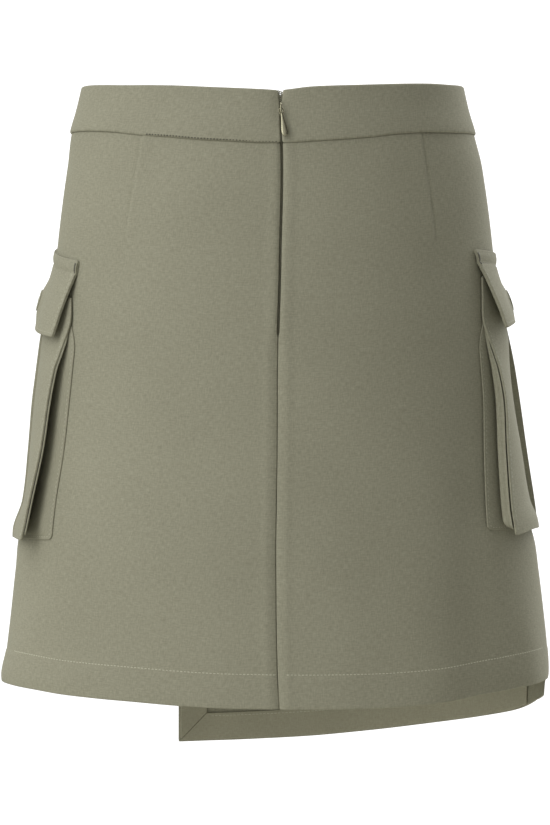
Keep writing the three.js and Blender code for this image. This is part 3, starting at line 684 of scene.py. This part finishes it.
def back_half(side, inset):
    """Angles of one back piece, from its side seam to the slot, both drawn in by an inset."""
    def angle_at(u, z):
        seam = (SEAM_GAP + inset) / column(SECTIONS, "z", "back", z)
        slot = back_angle(centre_x(z) + side * (half_slot(z) + inset), z)
        return mix(seam, slot, u) if side > 0 else mix(slot, math.pi - seam, u)
    return angle_at


def front_span(inset):
    """Angles of a whole front piece, from the right side seam to the left one."""
    def angle_at(u, z):
        seam = (SEAM_GAP + inset) / column(SECTIONS, "z", "front", z)
        return mix(math.pi + seam, 2 * math.pi - seam, u)
    return angle_at


def back_xz(u, v):
    """The garment's back by distance from the middle and height, both counted backwards."""
    return garment(back_angle(-u, -v), -v)


def front_xz(u, v):
    """The garment's front by distance from the middle, and height counted backwards."""
    return garment(front_angle(u, -v), -v)


def band_between(start, end):
    """The turned-in seam allowance behind the band's lower edge: it closes the seam from inside."""
    rows = between(lowered(waist_seam, -2.0), lowered(waist_seam, 9.0))
    surface = stretch(lambda u, z: mix(start, end, u) + 0 * z, rows)
    return shell(surface, dense(70), dense(6), -BAND + BAND_PROUD - 0.3, -BAND + BAND_PROUD - 1.1, rim=3)


def make_band():
    rows = between(lowered(waist_top, BAND_RIM), lowered(waist_seam, -1.0))
    ends = dict(back_left=(0.03, 1.52), back_right=(1.62, 3.11), front=(math.pi + 0.03, 2 * math.pi - 0.03))
    spans = dict(back_left=back_half(1, BAND_RIM - 0.6), back_right=back_half(-1, BAND_RIM - 0.6),
                 front=front_span(BAND_RIM - 0.6))
    widths = dict(back_left=195, back_right=195, front=385)
    for place, span in spans.items():
        columns = dense(160 if place == "front" else 100, (0, 0.02, 6), (1, 0.02, 6))
        cloth = shell(stretch(span, rows), columns, dense(26, (0, 0.08, 4), (1, 0.08, 4)), BAND_PROUD,
                      BAND_PROUD - BAND, band_height, rim=8, groove=0.12)
        parts = [cloth, band_between(*ends[place])]
        piece = dress(f"waistband_{place}_cloth", parts, CREPE, [f"waistband_{place}"])
        cut_of(widths[place], 52)


def allowance(surface, height):
    """A pressed-open seam allowance: a narrow strip behind a seam."""
    return shell(surface, dense(9), dense(80), -CLOTH - 0.35, -CLOTH - 1.15, height, rim=3)


def make_back():
    rows = between(lowered(waist_seam, GAP + RIM), lowered(back_hem, -RIM))
    dart_at = dict(left=0.40, right=0.62)
    for side, place in ((1, "left"), (-1, "right")):
        slot, seam = (1, 0) if side > 0 else (0, 1)
        columns = dense(205, (slot, 0.04, 5), (seam, 0.015, 4), (dart_at[place], 0.06, 2.2))
        lines = dense(150, (0, 0.02, 4), (1, 0.05, 4))
        cloth = shell(stretch(back_half(side, RIM), rows), columns, lines, 0, -CLOTH, back_height)
        centre = math.pi / 2 if side > 0 else math.pi

        def strip(u, v):
            z = mix(-60 if side < 0 else ZIP["end"] - 6, HEM["back"] + 4, v)
            if side > 0:
                return back_xz(mix(-9.0, 9.0, u) - centre_x(z), -z)
            return garment(math.pi + mix(-0.07, 0.07, u), z)
        parts = [cloth, allowance(strip, back_height if side > 0 else None)]
        if side > 0:
            def seam_strip(u, v):
                return garment(mix(-0.07, 0.07, u), mix(-60, HEM["under"], v))
            parts.append(allowance(seam_strip, None))
        piece = dress(f"back_{place}_cloth", parts, CREPE, [f"back_{place}"])
        cut_of(262, 440)


def under_tuck(angle, z):
    """How far the under layer lies inside the garment's surface, to leave room for the facings."""
    sunk = smooth(math.pi, math.pi + math.radians(UNDER["from_side"]), angle)
    sunk = sunk * smooth(0, UNDER["ease"], waist_seam(angle) - GAP - z)
    out = smooth(*(math.radians(a) for a in UNDER["to_side"]), angle)
    return mix(mix(UNDER["seam_tuck"], UNDER["tuck"], sunk), 0, out)


def make_front():
    def wrap_span(u, z):
        seam = (SEAM_GAP + RIM) / column(SECTIONS, "z", "front", z)
        return mix(math.pi + seam, front_angle(WRAP["edge_x"] - RIM, z), u)
    rows = between(lowered(waist_seam, GAP + RIM), lowered(wrap_hem, -RIM))
    cloth = shell(stretch(wrap_span, rows), dense(190, (0, 0.02, 4), (1, 0.03, 4)),
                  dense(130, (0, 0.03, 3), (1, 0.05, 4)), 0, -CLOTH, front_height)
    piece = dress("front_wrap_cloth", [cloth], CREPE, ["front_wrap"])
    cut_of(320, 480)

    under_rows = between(lowered(waist_seam, GAP + RIM), lowered(under_hem, -RIM))

    def under(u, v):
        point = settle(lambda z: front_span(RIM)(u, z), lambda angle: under_rows(angle, v))
        angle = front_span(RIM)(u, point[..., 2])
        normal = unit(point * np.array([1.0, 1.6, 0.0]))
        return point - normal * under_tuck(angle, point[..., 2])[..., None]
    cloth = shell(under, dense(150, (0, 0.02, 4), (1, 0.02, 4)), dense(90, (1, 0.04, 4)), 0, -CLOTH, front_height)
    piece = dress("front_under_cloth", [cloth], CREPE, ["front_under"])
    cut_of(512, 400)


def hem_facing_surface(u, v):
    """The facing along the wrap's hem, up to the mitre at the free corner."""
    edge = FACING["thickness"] / 2
    start = math.pi + math.radians(UNDER["from_side"] + 2)
    up = FACING["inset"] + edge + (FACING["width"] - 2 * edge) * (1 - v)
    stop = WRAP["edge_x"] - up - edge
    return settle(lambda z: mix(start, front_angle(stop, z), u), lambda angle: wrap_hem(angle) + up)


def edge_facing_surface(u, v):
    """The facing along the wrap's free edge, down to the mitre."""
    edge = FACING["thickness"] / 2
    across = FACING["inset"] + edge + (FACING["width"] - 2 * edge) * (1 - u)
    top = lowered(waist_seam, GAP + UNDER["ease"])
    low = lowered(wrap_hem, -(across + GAP + edge))
    return settle(lambda z: front_angle(WRAP["edge_x"] - across, z), lambda angle: mix(top(angle), low(angle), v))


def make_facings():
    """The wrap's facings, on its inner face: one along the hem and one along the free edge, whose
    ends meet in a mitre at the corner."""
    inn = -CLOTH - GAP - FACING["thickness"]
    along, across = (1, 0.03, 4), dense(16, (0, 0.1, 3), (1, 0.1, 3))
    pieces = dict(
        hem=(shell(hem_facing_surface, dense(170, along), across, -CLOTH - GAP, inn, front_height), 300, 20.5),
        edge=(shell(edge_facing_surface, across, dense(150, along), -CLOTH - GAP, inn, front_height), 20.5, 425),
    )
    for place, (cloth, width, length) in pieces.items():
        name = f"wrap_{place}_facing"
        # The facings take the lightened crepe, whose extra lightness is painted light.
        piece = dress(name + "_cloth", [cloth], CREPE_FACINGS_PAINTED_LIGHT, [name])
        cut_of(width, length)


# ------------------------------------------------------------------------------ bellows pockets


def pocket_back(side, z):
    """How far behind the side seam the pocket's back edge is sewn on."""
    return back_y(column(POCKET_ROWS[side["name"]], "z", "seam", z), z)


def pocket_y(side, share, z, inset):
    """The depth of a share across the pocket, from -1 in front to 1 behind, its ends drawn in."""
    back = pocket_back(side, z)
    return np.where(share >= 0, share * (back - inset), share * (POCKET["front_share"] * back - inset))


def share_of(side, y, z):
    back = pocket_back(side, z)
    lip = POCKET["lip"]
    return np.clip(np.where(y >= 0, y / (back - lip), y / (POCKET["front_share"] * back - lip)), -1, 1)


def stand_off(side, share, z):
    """How far the outer panel stands off the skirt: nearly flat over the middle, lifting towards
    both sewn edges, and stepping out to its far half at the centre pleat, over a trench."""
    rows = POCKET_ROWS[side["name"]]
    edge, near, far = (column(rows, "z", name, z) for name in ("edge", "near", "far"))
    front, back = side["pleat"]
    lid = back + side["trench"]
    t = np.where(share >= lid, (share - lid) / (1 - lid), np.minimum(0, share))
    pleat = smooth(front, back, share)
    crease = -2.4 * smooth(front, back, share) * (1 - smooth(lid - 0.02, lid, share))
    crease = crease * smooth(side["mouth"] - 10, side["mouth"] - 40, z)
    return mix(mix(far, near, pleat), edge, t**2) + crease * smooth(side["bottom"] + 4, side["bottom"] + 16, z)


def closed(z):
    """Where the bellows is folded flat, near the flap, its panel's edge lies right on the skirt."""
    return smooth(-192, -168, z)


def drooped(side, share, z):
    """A height, lowered towards the pocket's lower corners, where the panel sags."""
    return z - side["droop"] * hump(np.abs(share), 1.0, 0.25) * smooth(side["bottom"] + 60, side["bottom"], z)


def on_pocket(side, share, y, z, share_out=1.0, plus=0.0):
    """A point between the skirt and the outer panel: a share of the way out, plus a distance."""
    out = share_out * stand_off(side, share, z) + plus
    low = mix(z, drooped(side, share, z), share_out)
    return np.stack([side["sign"] * (side_x(y, z) + out), y, low + 0 * y], axis=-1)


def panel_surface(side):
    def surface(u, v):
        share = side["sign"] * (2 * u - 1)
        z = mix(side["mouth"] - side["tilt"] * share, side["bottom"] + RIM, v)
        lip = mix(POCKET["lip"], 0.4, closed(z)) + RIM
        return on_pocket(side, share, pocket_y(side, share, z, lip), z)
    return surface


def outline(side, a, inset):
    """The U of the pocket's outline, at a share of its run and drawn in by an inset: down the back
    edge, round a corner, along the bottom, round the other and up the front edge."""
    r = POCKET["corner"]
    top = GUSSET["top"]
    floor = side["bottom"] + inset
    down = top - side["bottom"] - r
    turn = r * math.pi / 2
    along = 2 * pocket_back(side, side["bottom"]) - 2 * r
    run = a * (2 * down + 2 * turn + along)
    back = run < (2 * down + 2 * turn + along) / 2
    from_end = np.where(back, run, 2 * down + 2 * turn + along - run)
    t_down = np.clip(from_end / down, 0, 1)
    phi = np.clip((from_end - down) / turn, 0, 1) * math.pi / 2
    t_along = np.clip((from_end - down - turn) / (along / 2), 0, 1)
    z = mix(top, floor + r, t_down) - r * np.sin(phi)
    edge = np.where(back, 1, POCKET["front_share"]) * pocket_back(side, z) - inset - r * (1 - np.cos(phi))
    middle = (1 - POCKET["front_share"]) / 2 * pocket_back(side, z)
    y = np.where(back, 1, -1) * mix(edge, np.where(back, middle, -middle), t_along)
    return y, z


# The bellows' section, from the skirt out to the panel: how far in from the outline, how far out as
# a share of the panel's stand-off, and a distance to add. The flange at either end lies flat.
GUSSET = dict(top=-152.0, thickness=1.1, tucked=5.0)
GUSSET_ROWS = dict(
    left=dict(
        t=[0, 0.08, 0.13, 0.22, 0.32, 0.46, 0.6, 0.72, 0.84, 0.93, 1],
        inset=[0.3, 2.6, 3.6, 7.5, 14.0, 28.0, 36.0, 34.0, 20.0, 7.4, 3.5],
        share=[0, 0, 0.03, 0.08, 0.13, 0.2, 0.34, 0.58, 0.86, 1, 1],
        plus=[0.62, 0.62, 0.7, 0.8, 0.4, -0.5, -0.9, -1.5, -2.2, -2.4, -2.3],
    ),
    right=dict(
        t=[0, 0.05, 0.09, 0.2, 0.34, 0.42, 0.54, 0.66, 0.78, 0.9, 1],
        inset=[0.3, 1.6, 3.0, 14.0, 30.0, 34.0, 22.0, 8.0, 4.6, 4.2, 3.5],
        share=[0, 0, 0.02, 0.06, 0.13, 0.2, 0.32, 0.44, 0.62, 0.88, 1],
        plus=[0.62, 0.62, 0.66, 0.7, 0.6, 0.2, -0.3, -0.8, -1.4, -2.1, -2.3],
    ),
)


def gusset_surface(side):
    """The bellows as a surface: along the outline, and from the panel's edge down to the skirt."""
    rows = GUSSET_ROWS[side["name"]]

    def surface(u, v):
        t = 1 - v
        a = 1 - u if side["sign"] > 0 else u
        inset = mix(column(rows, "t", "inset", t), GUSSET["tucked"], closed(outline(side, a, 0)[1]))
        y, z = outline(side, a, inset)
        share = share_of(side, y, z)
        return on_pocket(side, share, y, z, column(rows, "t", "share", t), column(rows, "t", "plus", t))
    return surface


def flap_surface(side):
    """The flap: it hangs from its seam, tilts a little, and its free edge stands away."""
    rows = FLAP_ROWS[side["name"]]

    def surface(u, v):
        share = side["sign"] * (2 * u - 1) * (1 - FLAP["rim"] / FLAP["half"])
        part = v * (1 - FLAP["rim"] / side["drop_middle"])
        drop = mix(side["drop_middle"], side["drop_end"], share**2)
        z = side["flap_top"] - side["tilt"] * share - drop * part
        y = share * FLAP["half"]
        stand = mix(column(rows, "part", "middle", part), column(rows, "part", "end", part), share**2)
        return np.stack([side["sign"] * (side_x(y, z) + stand), y, z], axis=-1)
    return surface


def flap_height(side):
    """The flap's surface over its layers: a soft roll at its seam, a ditch along its topstitching,
    and a slight swelling over the button's hole."""
    def height(points):
        y, z = points[..., 1], points[..., 2]
        down = side["flap_top"] - side["tilt"] * y / FLAP["half"] - z
        button = np.hypot(y, z - BUTTON["z"])
        swell = BUTTON["swell"] * (1 - smooth(BUTTON["radius"] * 0.7, BUTTON["radius"] * 2.3, button))
        return 0.5 * hump(down, 3.6, 2.4) - 0.75 * hump(down, FLAP["stitch"], 0.8) + swell
    return height


def make_pockets():
    for side in SIDES:
        name = side["name"]
        rows = dense(150, (0, 0.02, 3), (1, 0.02, 4))
        folds_at = [0.5 + side["sign"] * fold / 2 for fold in (side["pleat"][1], side["pleat"][1] + side["trench"])]
        columns = dense(170, (0, 0.02, 3), (1, 0.02, 3), *((fold, 0.016, 12) for fold in folds_at))
        panel = shell(panel_surface(side), columns, rows, 0, -CLOTH, rim=10, groove=0.35)
        piece = dress(f"pocket_{name}_panel_cloth", [panel], CREPE, [f"pocket_{name}_panel"])
        cut_of(150, 196)
        gusset = shell(gusset_surface(side), dense(300), dense(44), GUSSET["thickness"] / 2,
                       -GUSSET["thickness"] / 2)
        piece = dress(f"pocket_{name}_gusset_cloth", [gusset], CREPE, [f"pocket_{name}_gusset"])
        cut_of(430, 48)
        flap = shell(flap_surface(side), dense(120, (0, 0.02, 4), (1, 0.02, 4)),
                     dense(60, (0, 0.05, 3), (1, 0.04, 4)), 0, -2 * FLAP["rim"],
                     flap_height(side), rim=12, groove=0.6)
        piece = dress(f"pocket_{name}_flap_cloth", [flap], CREPE, [f"pocket_{name}_flap"])
        cut_of(122, 66)


# ------------------------------------------------------------------------------ buttons and zip


def make_buttons():
    """A sewn-on button on each flap: a domed disc with a sunk middle, four holes drawn as dark discs of painted shade,
    and crossed thread.
    """
    r, thick = BUTTON["radius"], BUTTON["thickness"]
    turn = np.linspace(-math.pi / 2, math.pi / 2, 9)
    edge = np.stack([r - thick / 2 + thick / 2 * np.cos(turn), thick / 2 + thick / 2 * np.sin(turn)], axis=-1)
    profile = np.concatenate([[[0, 0]], edge, [[r * 0.72, thick + 0.25], [r * 0.62, thick + 0.05], [r * 0.5, thick - 0.15],
                                               [0, thick - 0.15]]])
    for side in SIDES:
        sign, name = side["sign"], side["name"]
        part = (side["flap_top"] - BUTTON["z"]) / side["drop_middle"]
        surface = flap_surface(side)
        seat = BUTTON["swell"] - BUTTON["sink"]
        centre = moved(surface, np.array(0.5), np.array(part), seat)
        out = unit(moved(surface, np.array(0.5), np.array(part), seat + 1.0) - centre)
        across = unit(np.cross([0.0, 0.0, 1.0], out))
        frame_rows = np.stack([across, np.cross(out, across), out])[None]
        disc = repeated(lathe(profile), centre[None], frame_rows)
        piece_name = f"flap_button_{name}"
        dress(piece_name + "_disc", [disc], RESIN, [piece_name])
        # Dark discs at the four holes: painted shade inside the holes.
        hole = lathe([[0, 0.2], [0.75, 0.2], [0.75, 0.05], [0, 0.05]], 16)
        spots = np.array([[a, b, thick - 0.27] for a in (-1.6, 1.6) for b in (-1.6, 1.6)]) @ frame_rows[0] + centre
        holes = repeated(hole, spots, np.repeat(frame_rows, 4, axis=0))
        dress(piece_name + "_holes", [holes], DARK_THREAD_AND_PAINTED_SHADE)
        t = np.linspace(-1, 1, 9)[:, None]
        bars = [np.array([[a, 0, 0]]) + t * [[0, 1.75, 0]] + (1 - t**4) * [[0, 0, 0.35]] for a in (-1.6, 1.6)]
        bars = [tube((bar + [0, 0, thick - 0.17]) @ frame_rows[0] + centre, 0.32, 8) for bar in bars]
        dress(piece_name + "_thread", bars, THREAD)


def zip_tape(side):
    """One half of the zip's tape, behind the seam's edge."""
    def surface(u, v):
        z = mix(ZIP["tape_top"], ZIP["tape_end"], v)
        near = mix(0.9, 0.3, smooth(-34, -24, z))
        x = centre_x(z) + side * (near + ZIP["tape_width"] * (1 - u if side > 0 else u))
        return garment(back_angle(x, z), z)
    out = BAND_PROUD - BAND - 0.4
    return shell(surface, dense(10), dense(90), out, out - ZIP["tape"], rim=3)


def make_zip():
    """The concealed zip: two tapes, two rows of coil that mesh below the slider, the slider with its
    bridge, and the painted drop that hangs on it."""
    for side, name in ((1, "left"), (-1, "right")):
        # The tapes' dark colour is painted shade in the slot.
        piece = dress(f"zip_tape_{name}_cloth", [zip_tape(side)], TAPE_PAINTED_SHADE, [f"zip_tape_{name}"])
        cut_of(ZIP["tape_width"], 178)
    z = np.arange(COIL["top"], COIL["end"], -COIL["pitch"])
    turn = np.linspace(0, 2 * math.pi, 11)
    loop = np.stack([COIL["half"] / 2 * np.cos(turn), 0.65 * np.sin(turn), COIL["pitch"] * turn / (2 * math.pi)],
                    axis=-1)
    part = tube(loop, COIL["wire"], 6)
    coils = []
    for side in (1, -1):
        up = z + (COIL["pitch"] / 2 if side > 0 else 0)
        apart = mix(0.55, 1.0, smooth(-22, -14, up))
        points = back_xz(-(centre_x(up) + side * apart * COIL["half"] / 1.6), -up)
        points[:, 1] += mix(COIL["depth"], COIL["depth_top"], smooth(-34, -24, up))
        coils.append(repeated(part, points, np.repeat(np.eye(3)[None], len(up), axis=0)))
    dress("zip_coil", coils, COIL_NYLON)

    face = column(SECTIONS, "z", "back", PULL["pivot_z"]) + BAND_PROUD
    x = float(centre_x(PULL["pivot_z"]))
    t = np.linspace(-1, 1, 25)
    bridge = np.stack([x + 0 * t, face - 3.0 + (3.0 + SLIDER["bridge_out"]) * (1 - t**4) ** 0.5,
                       PULL["pivot_z"] + 4.6 * t], axis=-1)
    body_y = column(SECTIONS, "z", "back", -20.0) + BAND_PROUD - BAND - 1.7 - SLIDER["depth"] / 2
    u, v = np.linspace(0, 2 * math.pi, 33)[:-1], np.linspace(-1, 1, 13)

    def squared(value, power):
        return np.sign(value) * np.abs(value) ** power
    ring = np.stack([squared(np.cos(u), 0.35) * SLIDER["half"], squared(np.sin(u), 0.35) * SLIDER["depth"] / 2], -1)
    scale = (1 - np.abs(v) ** 8) ** 0.5
    height = (SLIDER["top"] - SLIDER["bottom"]) / 2
    middle = (SLIDER["top"] + SLIDER["bottom"]) / 2
    points = np.concatenate([scale[:, None, None] * ring + [x, body_y],
                             np.repeat((middle + height * v)[:, None, None], 32, axis=1)], axis=-1)
    k, start = np.arange(32), np.arange(12)[:, None] * 32
    quads = np.stack([start + k, start + (k + 1) % 32, start + 32 + (k + 1) % 32, start + 32 + k], -1).reshape(-1, 4)
    body = (points.reshape(-1, 3), quads, points.reshape(-1, 3)[:, :2])
    dress("zip_slider_cast", [tube(bridge, SLIDER["bridge"], 12), body], METAL, ["zip_slider"])

    lean, rest = math.radians(PULL["lean"]), math.radians(PULL["rest"])
    down = np.array([math.sin(lean), math.cos(lean) * math.sin(rest), -math.cos(lean) * math.cos(rest)])
    out = np.array([0, math.cos(rest), math.sin(rest)])
    across = np.cross(down, out)
    frame_rows = np.stack([across, out, -down])
    pivot = np.array([x, face + PULL["out"], PULL["pivot_z"]])
    turn = np.linspace(0, 2 * math.pi, 33)
    eye = np.stack([1.55 * np.cos(turn), 0 * turn, -1.7 + 2.2 * np.sin(turn)], axis=-1) @ frame_rows + pivot
    s = np.linspace(0, 1, 41)
    half = mix(PULL["neck"], PULL["half"], smooth(0, 0.95, s)) * (1 - s**9) ** 0.5 * np.minimum(1, 0.35 + 12 * s) ** 0.5
    thick = PULL["thickness"] / 2 * (1 - s**14) ** 0.5
    turn = np.linspace(0, 2 * math.pi, 33)[:-1]
    rim = np.stack([squared(np.cos(turn), 0.9), squared(np.sin(turn), 1.0)], axis=-1)
    plate = np.stack([half[:, None] * rim[:, 0], thick[:, None] * rim[:, 1],
                      np.repeat(-3.4 - (PULL["drop"] - 3.4) * s[:, None], 32, axis=1)], axis=-1)
    caps = [plate[:1].mean(axis=1, keepdims=True).repeat(32, axis=1), plate,
            plate[-1:].mean(axis=1, keepdims=True).repeat(32, axis=1)]
    plate = np.concatenate(caps) @ frame_rows + pivot
    start = np.arange(len(plate) - 1)[:, None] * 32
    quads = np.stack([start + k, start + 32 + k, start + 32 + (k + 1) % 32, start + (k + 1) % 32], -1).reshape(-1, 4)
    drop = (plate.reshape(-1, 3), quads, plate.reshape(-1, 3)[:, :2])
    dress("zip_pull_drop", [tube(eye, 0.42, 10), drop], METAL, ["zip_pull"], body="pull")


# ------------------------------------------------------------------------------ stitching


def make_stitches():
    """Every row of visible stitching: the hem, the flaps and pockets, the facings, and dark
    stitches in the waist seam on the left of the zip, whose dark colour is painted shade of the seam."""
    rows = []
    for start, stop in ((3.5, 189.0), (-3.5, -189.0)):
        x = np.linspace(start, stop, 400)
        z = hem_at(np.stack([x, x, x], axis=-1)) + HEM_STITCH
        rows.append(stitches(back_xz, -x, -z, 0.16, pitch=2.6, length=1.9, radius=0.34, height=back_height))
    for side in SIDES:
        line = np.linspace(0.03, 0.97, 200)
        part = FLAP["stitch"] / side["drop_middle"]
        ends = ((0, 1.9 / 118), (1, 1 - 1.9 / 118))
        for _, u in ends:
            v = np.linspace(part + 0.02, 0.97, 120)
            rows.append(stitches(flap_surface(side), u + 0 * v, v, 0.02, radius=0.2, height=flap_height(side)))
            v = np.linspace(0.16, 0.99, 260)
            rows.append(stitches(panel_surface(side), u + 0 * v, v, 0.02, radius=0.2))
        u = np.linspace(0.03, 0.97, 200)
        rows.append(stitches(flap_surface(side), u, 0.97 + 0 * u, 0.02, radius=0.2, height=flap_height(side)))
        u = np.linspace(0.06, 0.94, 500)
        rows.append(stitches(gusset_surface(side), u, 0.95 + 0 * u, GUSSET["thickness"] / 2, radius=0.2))
    dress("stitching", rows, THREAD)

    # Dark rods along the waist seam left of the zip: their dark colour is painted shade of the seam under the band.
    x = np.linspace(1.5, 92, 300)
    z = waist_seam(back_angle(x, WAIST["seam"]))
    dark = [stitches(back_xz, -x, -z - 0.35, BAND_PROUD - 0.15, pitch=2.3, length=1.1, radius=0.5)]
    for side in SIDES:
        flap, height = flap_surface(side), flap_height(side)
        u = np.full(40, 0.5 + side["sign"] * (0.5 - 0.3 / 118))
        v = np.linspace(1.5, 8.5, 40) / side["drop_middle"]
        dark.append(stitches(flap, u, v, 0, pitch=0.8, length=1.0, radius=0.8, height=height))
        line = np.linspace(0.03, 0.97, 200)
        stitched = FLAP["stitch"] / side["drop_middle"] + 0 * line
        dark.append(stitches(flap, line, stitched, 0, radius=0.28, height=height))
    dress("stitching_dark_and_painted_seam_shade", dark, DARK_THREAD_AND_PAINTED_SHADE)

    inner = -CLOTH - GAP - FACING["thickness"] - 0.1
    line = np.linspace(0.02, 0.985, 500)
    near_edge = 0.1 + 0 * line
    inside = [
        stitches(hem_facing_surface, line, near_edge, inner, pitch=2.8, radius=0.28, height=front_height, face=-1),
        stitches(edge_facing_surface, near_edge, line, inner, pitch=2.8, radius=0.28, height=front_height, face=-1),
    ]
    dress("stitching_inside", inside, THREAD)


make_band()
make_back()
make_front()
make_facings()
make_pockets()
make_buttons()
make_zip()
make_stitches()

# ------------------------------------------------------------------------------ light and camera

CAMERA = dict(turn=1.8, away=3.0, height=-0.237, tall=0.598)


def make_camera():
    """A long lens three metres behind the skirt, level with its middle, turned a little to its left."""
    data = bpy.data.cameras.new("camera")
    camera = bpy.data.objects.new("camera", data)
    bpy.context.scene.collection.objects.link(camera)
    turn = math.radians(CAMERA["turn"])
    camera.location = (CAMERA["away"] * math.sin(turn), CAMERA["away"] * math.cos(turn), CAMERA["height"])
    camera.rotation_euler = (math.pi / 2, 0, math.pi - turn)
    data.sensor_width = 36
    data.lens = 36 * CAMERA["away"] / CAMERA["tall"]
    bpy.context.scene.camera = camera


# The room's light by bearing, in degrees from behind the skirt towards its right side: a key soft
# box 50 degrees to the left of the camera, a dark camera side, a rim light from the right of the
# white sheet, and the sheet itself in front of the skirt.
ROOM = dict(
    bearing=[-180, -150, -110, -80, -50, -25, -3, 10, 35, 58, 95, 112, 130, 155, 180],
    level=[1.4, 0.8, 0.6, 0.7, 2.7, 0.78, 0.6, 0.34, 0.05, 0.05, 0.25, 0.9, 3.5, 1.7, 1.4],
    low=0.54, high=1.31,
)


def make_world():
    """A studio as light by direction: the room's light by bearing, weaker from below and stronger
    from above."""
    world = bpy.data.worlds.new("studio")
    bpy.context.scene.world = world
    world.use_nodes = True
    tree = world.node_tree
    tree.nodes.clear()
    toward = add(tree, "ShaderNodeTexCoord").outputs["Generated"]
    parts = add(tree, "ShaderNodeSeparateXYZ", Vector=toward).outputs
    right = add(tree, "ShaderNodeMath", {"operation": "MULTIPLY"}, i0=parts["X"], i1=-1.0).outputs[0]
    turn = add(tree, "ShaderNodeMath", {"operation": "ARCTAN2"}, i0=right, i1=parts["Y"]).outputs[0]
    share = add(tree, "ShaderNodeMapRange", Value=turn, i1=-math.pi, i2=math.pi, i3=0.0, i4=1.0).outputs[0]
    ramp = add(tree, "ShaderNodeValToRGB", Fac=share)
    ramp.color_ramp.interpolation = "CARDINAL"
    brightest = max(ROOM["level"])
    stops = ramp.color_ramp.elements
    while len(stops) < len(ROOM["bearing"]):
        stops.new(0.5)
    for stop, bearing, level in zip(stops, ROOM["bearing"], ROOM["level"]):
        stop.position = (bearing + 180) / 360
        stop.color = (level / brightest,) * 3 + (1.0,)
    height = add(tree, "ShaderNodeMapRange", {"interpolation_type": "SMOOTHSTEP"}, Value=parts["Z"],
                 i1=-0.8, i2=0.8, i3=ROOM["low"] * brightest, i4=ROOM["high"] * brightest).outputs[0]
    light = add(tree, "ShaderNodeBackground", Color=ramp.outputs["Color"], Strength=height)
    add(tree, "ShaderNodeOutputWorld", Surface=light.outputs[0])


def make_studio():
    """A pale floor under the skirt, the room, and a large soft key from the skirt's left and back."""
    count = 64
    turns = np.linspace(0, 2 * math.pi, count, endpoint=False)
    rings = [np.stack([r * np.cos(turns), r * np.sin(turns), 0 * turns - 1], axis=-1) for r in (0.002, 4.0)]
    points = np.concatenate(rings) / MM
    k = np.arange(count)
    quads = np.stack([k, k + count, (k + 1) % count + count, (k + 1) % count], axis=-1)
    floor = bpy.data.objects.new("floor", make_mesh("floor", (points, quads, points[:, :2])))
    bpy.context.scene.collection.objects.link(floor)
    floor.data.materials.append(studio_paint("studio_floor_pale", "#bdbcb4"))
    make_world()
    bpy.context.scene.view_settings.view_transform = "Standard"


make_camera()
make_studio()
